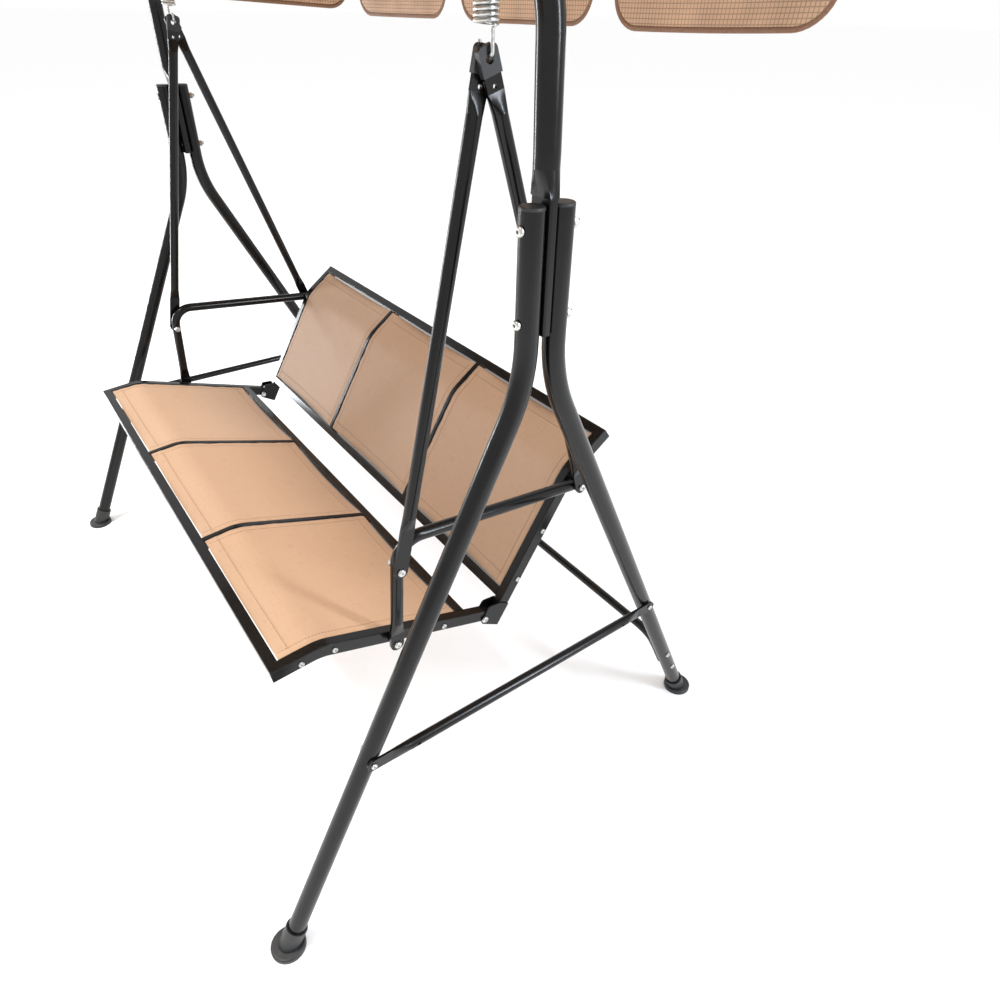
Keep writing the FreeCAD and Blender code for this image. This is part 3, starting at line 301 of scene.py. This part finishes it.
def canopy_cloth(colour):
    """Thin polyester canopy cloth with a 7.5 mm ripstop grid, paler in patches."""
    material, tree, shader = new_material("ripstop_canopy_cloth")
    uv = add(tree, "ShaderNodeUVMap", uv_map="weave").outputs[0]
    split = add(tree, "ShaderNodeSeparateXYZ", {0: uv})
    lines = []
    for axis in ("X", "Y"):
        ridge = yarn_wave(tree, split.outputs[axis], 7.5)
        lines.append(add(tree, "ShaderNodeMapRange", {"Value": ridge, "From Min": 0.0, "From Max": 0.5,
                                                      "To Min": 0.0, "To Max": 1.0}).outputs["Result"])
    cell = add(tree, "ShaderNodeMath", {0: lines[0], 1: lines[1]}, operation="MINIMUM").outputs[0]
    wide = add(tree, "ShaderNodeTexNoise", {"Vector": uv, "Scale": 13.0, "Detail": 2.0}).outputs["Fac"]
    tone = add(tree, "ShaderNodeMath", {0: level(tree, cell, 0.0, 0.75), 1: level(tree, wide, -0.15, 0.42)},
               operation="ADD").outputs[0]
    base = spread(tree, tone, rgba(colour, 0.42), rgba(colour, 1.45), 0.0, 1.0)
    tree.links.new(base, shader.inputs["Base Color"])
    bump = add(tree, "ShaderNodeBump", {"Height": cell, "Strength": 0.35, "Distance": 0.3 * MM},
               invert=True)
    tree.links.new(bump.outputs[0], shader.inputs["Normal"])
    shader.inputs["Roughness"].default_value = 0.7
    shader.inputs["Sheen Weight"].default_value = 0.2
    shader.inputs["Specular IOR Level"].default_value = 0.3
    return material


def woven_tape(colour, name="woven_binding_tape", grain=1.6):
    """Polypropylene tape or thread: matt, with a coarse uneven grain of the given size in mm."""
    material, tree, shader = new_material(name)
    where = add(tree, "ShaderNodeTexCoord").outputs["Object"]
    fibres = add(tree, "ShaderNodeTexNoise", {"Vector": where, "Scale": 1 / (grain * MM), "Detail": 2.0})
    base = spread(tree, fibres.outputs["Fac"], rgba(colour, 0.7), rgba(colour, 1.25), 0.3, 0.7)
    tree.links.new(base, shader.inputs["Base Color"])
    bump = add(tree, "ShaderNodeBump", {"Height": fibres.outputs["Fac"], "Strength": 0.3,
                                        "Distance": 0.3 * MM})
    tree.links.new(bump.outputs[0], shader.inputs["Normal"])
    shader.inputs["Roughness"].default_value = 0.75
    shader.inputs["Sheen Weight"].default_value = 0.15
    return material


def shared(name, maker, *colours):
    """The material of that name, made once."""
    return bpy.data.materials.get(name) or maker(*colours)


def paint_node(name, material):
    """Gives a CAD node one material."""
    node = frame["nodes"][name]
    node.data.materials.clear()
    node.data.materials.append(material)


# ------------------------------------------------------------------ mesh helpers


def finish_piece(bm, name, body, *materials, smooth=True):
    """Turns a bmesh into a piece that rides on a body, if one is named. Its place is in its mesh."""
    bmesh.ops.recalc_face_normals(bm, faces=bm.faces)
    mesh = bpy.data.meshes.new(name)
    bm.to_mesh(mesh)
    bm.free()
    for face in mesh.polygons:
        face.use_smooth = smooth
    for material in materials:
        mesh.materials.append(material)
    piece = bpy.data.objects.new(name, mesh)
    bpy.context.collection.objects.link(piece)
    if body:
        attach(piece, body)
    return piece


def mapped_grid(across, along, place, uv=lambda a, b: (a * MM, b * MM)):
    """A grid whose vertices go where place(a, b) says, for the values across and along."""
    bm = bmesh.new()
    bmesh.ops.create_grid(bm, x_segments=len(across) - 1, y_segments=len(along) - 1, size=1.0)
    layer = bm.loops.layers.uv.new("weave")
    columns, rows = len(across) - 1, len(along) - 1
    spot = {}
    for vert in bm.verts:
        spot[vert] = (across[round((vert.co.x + 1) / 2 * columns)], along[round((vert.co.y + 1) / 2 * rows)])
    for face in bm.faces:
        for loop in face.loops:
            a, b = spot[loop.vert]
            loop[layer].uv = uv(a, b)
    for vert, (a, b) in spot.items():
        vert.co = place(a, b)
    return bm


def steps(low, high, count):
    """Evenly spaced values from low to high, count + 1 of them."""
    return [low + (high - low) * k / count for k in range(count + 1)]


def solidify(piece, thickness, offset=0.0):
    """Gives a sheet its thickness. An offset of -1 puts all of it below the drawn face."""
    modifier = piece.modifiers.new("cloth", "SOLIDIFY")
    modifier.thickness = thickness
    modifier.offset = offset


def closed_strip(bm, stations, ring):
    """Adds a closed bar: at each station, ring(station) gives the points of its section."""
    loops = []
    for station in stations:
        loops.append([bm.verts.new(point) for point in ring(station)])
    count = len(loops[0])
    for before, after in zip(loops, loops[1:]):
        for k in range(count):
            bm.faces.new((before[k], before[(k + 1) % count], after[(k + 1) % count], after[k]))
    bm.faces.new(loops[0][::-1])
    bm.faces.new(loops[-1])


# ------------------------------------------------------------------ slings


def bent_profile(knee, slope_in, slope_out, run_in, run_out, lift):
    """A bent line in the YZ plane, lifted square to itself. Returns (length, at), and at(s) is
    (point, normal) with points in mm, from the start of the run into the knee."""
    turn = slope_out - slope_in
    side = 1 if turn > 0 else -1
    setback = KNEE_RADIUS * math.tan(abs(turn) / 2)
    into = Vector((0, math.cos(slope_in), math.sin(slope_in)))
    out = Vector((0, math.cos(slope_out), math.sin(slope_out)))
    normal_in = Vector((0, -into.z, into.y))
    corner = Vector((0, knee[0], knee[1]))
    first = corner - into * setback
    centre = first + normal_in * (KNEE_RADIUS * side)
    straight = run_in - setback
    radius = KNEE_RADIUS - side * lift
    arc = radius * abs(turn)

    def at(s):
        if s < straight:
            return first - into * (straight - s) + normal_in * lift, normal_in
        if s > straight + arc:
            normal = Vector((0, -out.z, out.y))
            return corner + out * (setback + s - straight - arc) + normal * lift, normal
        angle = slope_in + side * (s - straight) / radius
        normal = Vector((0, -math.sin(angle), math.cos(angle)))
        return centre - normal * (side * radius), normal
    return straight + arc + run_out - setback, at


SIDE_GAP = 0.3              # between a sling's side edge and its rod
SLING_CLOTH, ROOF_CLOTH, FLAP_CLOTH = 1.1, 0.9, 0.8     # thicknesses, in mm
EDGE_GAP = 2.0              # open slot between a sling's free edge and its rail
HALF_RAIL = RAIL_WIDTH / 2
POCKET = 15.0               # from a sling's side edge to the seam of the pocket over its rod
SLING_LIFT = RAIL_DEPTH / 2 - 1.2
SEAT_PROFILE = bent_profile(SEAT_KNEE, SEAT_NOSE_SLOPE, SEAT_MAIN_SLOPE,
                            SEAT_NOSE_RUN - RAIL_WIDTH - EDGE_GAP,
                            SEAT_MAIN_RUN - HALF_RAIL - EDGE_GAP, SLING_LIFT)
BACK_PROFILE = bent_profile(BACK_KNEE, BACK_MAIN_SLOPE, BACK_ROLL_SLOPE,
                            BACK_MAIN_RUN - HALF_RAIL - EDGE_GAP,
                            BACK_ROLL_RUN - RAIL_WIDTH - EDGE_GAP, SLING_LIFT)


def sling_height(u, s, length, half, sag, hem, seed):
    """Height of a sling's cloth over its tight profile, in mm. u is the distance from its middle.
    It hangs between its rods, bends down at its welts, is thicker over its turned hems, and puckers
    a little beside its seams."""
    across = 1 - (u / half) ** 2
    edge = min(s, length - s)
    hang = -sag * across * (1 + 0.35 * math.exp(-edge / 45))
    welt = -1.6 * math.exp(-(half - abs(u)) / 3.5)
    lapped = 0.55 / (1 + math.exp((edge - hem) / 0.35))
    fold = -0.7 * math.exp(-edge / 0.9)
    pucker = noise.noise(Vector((u / 55, s / 16, seed))) * 1.1 * math.exp(-(half - abs(u)) / 50)
    wander = noise.noise(Vector((u / 130, s / 110, seed + 5))) * 1.3 * across
    hem_pull = 0.2 * math.sin(u / 4.1) * math.exp(-abs(edge - hem) / 4)
    seam = -0.5 * math.exp(-((half - abs(u) - POCKET) / 1.5) ** 2)
    return hang + welt + lapped + fold + pucker + wander + hem_pull + seam


def make_sling(name, profile, x0, x1, body, cad_node, seed, settings, cloth, thread):
    """One stretched sling with turned hems at its free edges, and the hems' stitches."""
    length, at = profile
    hem, sag = settings.hem / MM, settings.sag / MM
    half = (x1 - x0) / 2
    edges = [0, 0.6, 1.6, 4, 9, 15] + [hem + e for e in (-4, -1.2, -0.5, 0, 0.5, 1.2, 4, 9)]
    inner = steps(hem + 14, length - hem - 14, 46)
    along = edges + inner + [length - e for e in reversed(edges)]
    border = [0, 1.5, 3.5, 7, 10.5, 12.5, 14, POCKET, 16, 17.5, 20, 28]
    across = border + steps(40, 2 * half - 40, 30) + [2 * half - e for e in reversed(border)]

    def place(a, b):
        point, normal = at(b)
        height = sling_height(a - half, b, length, half, sag, hem, seed)
        return (Vector((x0 + a, point.y, point.z)) + normal * height) * MM
    bm = mapped_grid(across, along, place)
    piece = finish_piece(bm, name, body, cloth)
    solidify(piece, SLING_CLOTH * MM, -1.0)
    stitches = make_stitches(name + "_stitches", length, at, x0, half, sag, hem, seed, body, settings, thread)
    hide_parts(cad_node)
    return piece


def make_stitches(name, length, at, x0, half, sag, hem, seed, body, settings, thread):
    """Lock stitches: a row inside each hem, and one along the pocket at each side."""
    bm = bmesh.new()
    pitch = settings.stitch / MM * 1.35
    reach = settings.stitch / MM

    def stitch(a, row, along_side):
        point, normal = at(row)
        height = sling_height(a - half, row, length, half, sag, hem, seed)
        centre = Vector((x0 + a, point.y, point.z)) + normal * (height + 0.2)
        tangent = normal.cross(Vector((1, 0, 0)))
        turn = Matrix((Vector((1, 0, 0)), tangent, normal)).transposed()
        run, width = (1.1, reach) if along_side else (reach, 1.1)
        for vert in bmesh.ops.create_cube(bm, size=1.0)["verts"]:
            taper = 0.55 if vert.co.z > 0 else 1.0
            local = Vector((vert.co.x * run * taper, vert.co.y * width * taper, vert.co.z * 0.8))
            vert.co = (centre + turn @ local) * MM

    for row in (hem - 2.5, length - hem + 2.5):
        for k in range(int((2 * half - 10) / pitch)):
            stitch(5 + pitch * (k + 0.5), row, False)
    for a in (POCKET, 2 * half - POCKET):
        for k in range(int((length - 8) / pitch)):
            stitch(a, 4 + pitch * (k + 0.5), True)
    return finish_piece(bm, name, body, thread, smooth=False)


class SWING_OT_slings(bpy.types.Operator):
    """Makes the three seat slings and the three backrest slings"""
    bl_idname = "swing.slings"
    bl_label = "Slings"

    def execute(self, context):
        settings = context.scene.swing_slings
        cloth = shared("woven_sling_mesh", sling_mesh, settings.yarn, settings.dark_yarn_and_gap_shade)
        thread = shared("hem_thread", woven_tape, settings.dark_yarn_and_gap_shade, "hem_thread", 1.0)
        inner, outer = DIVIDER_X + DIVIDER_HALF + SIDE_GAP, RAIL_INNER_X - SIDE_GAP
        middle = DIVIDER_X - DIVIDER_HALF - SIDE_GAP
        spans = {"left": (inner, outer), "middle": (-middle, middle), "right": (-outer, -inner)}
        seed = 3.0
        for part, profile in (("seat", SEAT_PROFILE), ("back", BACK_PROFILE)):
            for side, (x0, x1) in spans.items():
                seed += 11.0
                make_sling(f"{part}_cloth_{side}", profile, x0, x1, "seat", f"{part}_sling_{side}",
                           seed, settings, cloth, thread)
        return {"FINISHED"}


# ------------------------------------------------------------------ canopy


def bar_height(y):
    """Height of the canopy's tilted end bars at y, in mm."""
    return CANOPY_AXIS_Z - y * math.tan(CANOPY_TILT)


def tilted(x, y, above):
    """A point on the canopy: y along its bars, and above measured square to them, in mm."""
    return Vector((x, y * math.cos(CANOPY_TILT) + above * math.sin(CANOPY_TILT),
                   CANOPY_AXIS_Z - y * math.sin(CANOPY_TILT) + above * math.cos(CANOPY_TILT)))


ROOF_X = BAR_X + BAR_RADIUS + 0.6
ROOF_Y = BAR_Y + BAR_RADIUS + 0.6
ROOF_ABOVE = BAR_RADIUS + 1.2
CROSSBAR_CLEAR = 6.0        # least height of the roof cloth over the bars' axis line, over the crossbar


def roof_point(x, y, sag):
    """The roof cloth: drawn tight over its bars, it hangs a little between them."""
    span = 1 - (x / ROOF_X) ** 2
    ends = 1 - abs(y / ROOF_Y) ** 2
    ripple = noise.noise(Vector((x / 150, y / 190, 2.0))) * 3.0 * span * ends
    fold = noise.noise(Vector((x / 60, y / 300, 9.0))) * 1.6 * math.exp(-(ROOF_Y - abs(y)) / 60)
    edge = min(ROOF_X - abs(x), ROOF_Y - abs(y))
    over = -3.2 * math.exp(-edge / 3.0)
    return tilted(x, y, max(-CROSSBAR_CLEAR, ROOF_ABOVE - sag * span * ends + ripple) + fold + over)


def rounded_outline(width, depth, corner, sides=10):
    """(a, b) points down one side, round the lower corners and up the other side; b is the depth."""
    points = [(0.0, b) for b in steps(0, depth - corner, 8)]
    for k in range(1, sides + 1):
        turn = math.pi / 2 * k / sides
        points.append((corner - corner * math.cos(turn), depth - corner + corner * math.sin(turn)))
    points += [(a, depth) for a in steps(corner, width - corner, 24)[1:]]
    mirrored = [(width - a, b) for a, b in reversed(points[:8 + sides + 1])]
    return points + mirrored[1:]


def flap_depth(a, width, depth, corner):
    """Depth of a flap at a, with its lower corners rounded."""
    side = min(a, width - a)
    if side >= corner:
        return depth
    return depth - corner + math.sqrt(max(0.0, corner ** 2 - (corner - side) ** 2))


def make_flap(name, body, width, depth, place, seed, cloth, tape, tape_width, swell, curl=0.0, lift=0.0):
    """One hanging flap with binding tape round its free edge. place(a, b, out) gives a point in mm.
    curl is the radius its lower edge rolls inwards to, and lift is how far one lower corner rises."""
    corner = FLAP_CORNER
    near = [0, 0.8, 2.5, 5.5, 10, 16, 24, 34, 46]
    across = near + steps(corner, width - corner, 22) + [width - e for e in reversed(near)]
    along = steps(0, 1, 26 if curl else 14)

    def wave(a, b):
        free = (b / depth) ** 1.3
        roll = noise.noise(Vector((a / 95, b / 150, seed))) * swell
        curl = math.sin(a / width * math.pi * 2.2 + seed) * swell * 0.35
        return (roll + curl) * free

    def point(a, b):
        out, down = wave(a, b), b
        if curl:
            over = b - (depth - math.pi * curl)
            if over > 0:
                down = b - over + curl * math.sin(over / curl)
                out -= curl * (1 - math.cos(over / curl))
        rise = lift * (a / width) ** 2 * b / depth
        out += math.sin(math.pi * b / depth) * rise * 0.9
        return Vector(place(a, down - rise, out)) * MM
    bm = mapped_grid(across, along, lambda a, t: point(a, t * flap_depth(a, width, depth, corner)),
                     uv=lambda a, t: (a * MM, t * flap_depth(a, width, depth, corner) * MM))
    piece = finish_piece(bm, name, body, cloth)
    solidify(piece, FLAP_CLOTH * MM)
    outline = rounded_outline(width, depth, corner)
    bm = bmesh.new()

    def ring(k):
        a, b = outline[k]
        before, after = outline[max(0, k - 1)], outline[min(len(outline) - 1, k + 1)]
        run = Vector((after[0] - before[0], after[1] - before[1], 0)).normalized()
        inward = Vector((run.y, -run.x, 0))
        here = point(a, b)
        inner_a, inner_b = a + inward.x * tape_width, max(0.0, b + inward.y * tape_width)
        inner = point(inner_a, inner_b)
        across_run = (inner - here)
        along_run = point(*after) - point(*before)
        face = across_run.cross(along_run).normalized() * (1.1 * MM)
        rim = here - across_run.normalized() * (0.9 * MM)
        mid = here + across_run * 0.5
        return [inner + face * 0.75, mid + face, here + face * 0.9, rim, here - face * 0.9, mid - face,
                inner - face * 0.75]
    closed_strip(bm, range(len(outline)), ring)
    binding = finish_piece(bm, name + "_binding", body, tape)
    return piece


class SWING_OT_canopy(bpy.types.Operator):
    """Makes the roof cloth and its ten hanging flaps"""
    bl_idname = "swing.canopy"
    bl_label = "Canopy"

    def execute(self, context):
        settings = context.scene.swing_canopy
        cloth = shared("ripstop_canopy_cloth", canopy_cloth, settings.cloth)
        tape = shared("woven_binding_tape", woven_tape, settings.binding)
        sag = settings.sag / MM
        border = [0, 1.5, 4, 8, 14, 22]
        across = border + steps(36, 2 * ROOF_X - 36, 70) + [2 * ROOF_X - e for e in reversed(border)]
        along = border + steps(36, 2 * ROOF_Y - 36, 56) + [2 * ROOF_Y - e for e in reversed(border)]
        bm = mapped_grid(across, along, lambda a, b: roof_point(a - ROOF_X, b - ROOF_Y, sag) * MM)
        roof = finish_piece(bm, "roof_cloth", "canopy", cloth)
        solidify(roof, ROOF_CLOTH * MM)
        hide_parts("canopy_top")
        tape_width = settings.tape / MM
        width, depth, pitch = LONG_FLAP
        flap_y = BAR_Y * math.cos(CANOPY_TILT) + BAR_RADIUS + 1.1
        for end, sign in (("front", -1), ("rear", 1)):
            top = bar_height(sign * BAR_Y * math.cos(CANOPY_TILT)) + FLAP_SEAM
            for k, part in ((-1, "right"), (0, "middle"), (1, "left")):
                low = k * pitch - width / 2

                def place(a, b, out, low=low, sign=sign, top=top):
                    return (low + a, sign * (flap_y + out), top - b)
                make_flap(f"flap_{end}_{part}", "canopy", width, depth, place,
                                       sign * 7 + k * 3 + 20, cloth, tape, tape_width, LONG_SWELL,
                                       lift=LIFTED if part == "left" else SETTLED)
            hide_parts(f"valance_{end}")
        flap_x = ROOF_X + 0.5
        width, depth, start = END_FLAP
        first = None
        for side, sx in (("left", 1), ("right", -1)):
            for end, sy in (("front", -1), ("rear", 1)):
                def place(a, b, out, sx=sx, sy=sy):
                    y = sy * (start + a)
                    return (sx * (flap_x + out), y, bar_height(y) + FLAP_SEAM - b)
                made = make_flap(f"flap_{side}_{end}", "canopy", width, depth, place,
                                 sx * 5 + sy * 2 + 40, cloth, tape, tape_width, END_SWELL,
                                 curl=LEFT_CURL if side == "left" else 0.0)
                first = first or made
        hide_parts("valance_ends")
        return {"FINISHED"}


# ------------------------------------------------------------------ springs


class SWING_OT_springs(bpy.types.Operator):
    """Winds the two coils, which stretch between their two hooks"""
    bl_idname = "swing.springs"
    bl_label = "Springs"

    def execute(self, context):
        metal = shared("bright_zinc_plate", zinc_plate, context.scene.swing_steel.zinc)
        for side, sign in (("left", 1), ("right", -1)):
            bm = bmesh.new()
            radius = COIL_RADIUS * MM
            ring = bmesh.ops.create_circle(bm, cap_ends=True, segments=14, radius=WIRE_RADIUS * MM)
            bmesh.ops.rotate(bm, verts=ring["verts"], cent=(0, 0, 0),
                             matrix=Matrix.Rotation(math.pi / 2, 3, "X"))
            bmesh.ops.translate(bm, verts=ring["verts"],
                                vec=(sign * (SPRING_X * MM + radius), 0, COIL_LOW * MM))
            turns = STEPS_PER_TURN * COIL_TURNS
            bmesh.ops.spin(bm, geom=bm.verts[:] + bm.edges[:] + bm.faces[:],
                           cent=(sign * SPRING_X * MM, 0, COIL_LOW * MM), axis=(0, 0, 1),
                           dvec=(0, 0, (COIL_HIGH - COIL_LOW) * MM / turns),
                           angle=sign * math.tau * COIL_TURNS, steps=turns, use_merge=False,
                           use_duplicate=False)
            bmesh.ops.remove_doubles(bm, verts=bm.verts, dist=0.01 * MM)
            coil = finish_piece(bm, f"coil_{side}", None, metal)
            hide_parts(f"spring_coil_{side}")
            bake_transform(coil)
        return {"FINISHED"}


# ------------------------------------------------------------------ finishes on the CAD pieces


class SWING_OT_steelwork(bpy.types.Operator):
    """Gives every tube, bolt, hook and plastic part its finish"""
    bl_idname = "swing.steelwork"
    bl_label = "Steelwork"

    def execute(self, context):
        colours = context.scene.swing_steel
        coat = shared("satin_black_powder_coat", powder_coat, colours.coat)
        zinc = shared("bright_zinc_plate", zinc_plate, colours.zinc)
        plastic = shared("black_moulded_polyethylene", moulded_plastic, colours.plastic)
        cloth = shared("woven_sling_mesh", sling_mesh, context.scene.swing_slings.yarn,
                       context.scene.swing_slings.dark_yarn_and_gap_shade)
        by_slot = {"black_paint": coat, "zinc": zinc, "black_plastic": plastic, "sling_cloth": cloth,
                   "canopy_cloth": cloth}
        for part in frame["record"]["subparts"]:
            if part["node"] in frame["nodes"]:
                paint_node(part["node"], by_slot[part["material_slot"]])
        return {"FINISHED"}


# ------------------------------------------------------------------ stage


VIEW_FROM = (1425.5, -559.2, 1389.3)        # the camera, in mm
VIEW_ANGLES = (52.917, 35.397, -1.406)      # its azimuth, its elevation over the object, and its roll
FLOOR_HALF = 90.0                           # m, far enough for its edge to meet the sky


def area_light(name, place, target, size, power, colour):
    """A rectangular light that faces its target."""
    data = bpy.data.lights.new(name, "AREA")
    data.shape = "RECTANGLE"
    data.size, data.size_y = size
    data.energy = power
    data.color = colour
    light = bpy.data.objects.new(name, data)
    light.location = place
    light.rotation_euler = (Vector(target) - Vector(place)).to_track_quat("-Z", "Y").to_euler()
    bpy.context.collection.objects.link(light)


class SWING_OT_stage(bpy.types.Operator):
    """Makes the pale floor, the soft studio light and the camera"""
    bl_idname = "swing.stage"
    bl_label = "Stage"

    def execute(self, context):
        settings = context.scene.swing_stage
        bm = bmesh.new()
        bmesh.ops.create_grid(bm, x_segments=1, y_segments=1, size=FLOOR_HALF)
        mesh = bpy.data.meshes.new("floor")
        bm.to_mesh(mesh)
        bm.free()
        material, tree, shader = new_material("pale_matt_paper")
        where = add(tree, "ShaderNodeTexCoord").outputs["Object"]
        tooth = add(tree, "ShaderNodeTexNoise", {"Vector": where, "Scale": 3.0, "Detail": 2.0})
        base = spread(tree, tooth.outputs["Fac"], rgba(settings.floor, 0.99), rgba(settings.floor, 1.01))
        tree.links.new(base, shader.inputs["Base Color"])
        shader.inputs["Roughness"].default_value = 0.9
        mesh.materials.append(material)
        floor = bpy.data.objects.new("floor", mesh)
        context.collection.objects.link(floor)

        world = bpy.data.worlds.new("soft_white")
        context.scene.world = world
        world.use_nodes = True
        world.node_tree.nodes.clear()
        back = add(world.node_tree, "ShaderNodeBackground", {"Color": (1.0, 1.0, 1.0, 1.0), "Strength": 1.0})
        add(world.node_tree, "ShaderNodeOutputWorld", {"Surface": back.outputs[0]})
        area_light("key", (-0.3, -2.3, 5.2), (0, -0.2, 0.5), (2.0, 0.9), 240, (1.0, 0.98, 0.95))
        area_light("far_side", (-3.8, -1.8, 0.9), (0.0, 0.0, 0.7), (0.4, 1.5), 70, (0.9, 0.95, 1.0))
        area_light("near_side", (3.6, 1.6, 2.6), (0.4, 0, 0.8), (0.3, 2.6), 110, (0.84, 0.91, 1.0))

        azimuth, elevation, roll = (math.radians(angle) for angle in VIEW_ANGLES)
        ahead = Vector((-math.sin(azimuth) * math.cos(elevation), math.cos(azimuth) * math.cos(elevation),
                        -math.sin(elevation)))
        right = Vector((math.cos(azimuth), math.sin(azimuth), 0))
        down = ahead.cross(right)
        turned_right = right * math.cos(roll) + down * math.sin(roll)
        turned_down = down * math.cos(roll) - right * math.sin(roll)
        data = bpy.data.cameras.new("camera")
        data.sensor_width = 36.0
        data.lens = settings.lens
        camera = bpy.data.objects.new("camera", data)
        turn = Matrix((turned_right, -turned_down, -ahead)).transposed().to_4x4()
        camera.matrix_world = Matrix.Translation(Vector(VIEW_FROM) * MM) @ turn
        context.collection.objects.link(camera)
        context.scene.camera = camera
        context.scene.view_settings.view_transform = "Standard"
        return {"FINISHED"}


# ------------------------------------------------------------------ add-on


OPERATORS = (SWING_OT_stage, SWING_OT_steelwork, SWING_OT_slings, SWING_OT_canopy, SWING_OT_springs)
GROUPS = {"swing_steel": SwingSteel, "swing_slings": SwingSlings, "swing_canopy": SwingCanopy,
          "swing_stage": SwingStage}


class SWING_PT_panel(bpy.types.Panel):
    """Lists the swing's sizes, colours and pieces"""
    bl_idname = "SWING_PT_panel"
    bl_label = "Patio swing"
    bl_space_type = "VIEW_3D"
    bl_region_type = "UI"
    bl_category = "Swing"

    def draw(self, context):
        for name, group in GROUPS.items():
            box = self.layout.box()
            for key in group.__annotations__:
                box.prop(getattr(context.scene, name), key)
        for operator in OPERATORS:
            self.layout.operator(operator.bl_idname)


def register():
    for group in GROUPS.values():
        bpy.utils.register_class(group)
    for operator in OPERATORS:
        bpy.utils.register_class(operator)
    bpy.utils.register_class(SWING_PT_panel)
    for name, group in GROUPS.items():
        setattr(bpy.types.Scene, name, bpy.props.PointerProperty(type=group))


def unregister():
    for name in GROUPS:
        delattr(bpy.types.Scene, name)
    for made in (SWING_PT_panel, *reversed(OPERATORS), *reversed(GROUPS.values())):
        bpy.utils.unregister_class(made)


def main():
    register()
    bpy.ops.swing.stage()
    bpy.ops.swing.steelwork()
    bpy.ops.swing.slings()
    bpy.ops.swing.canopy()
    bpy.ops.swing.springs()


if __name__ == "__main__":
    main()
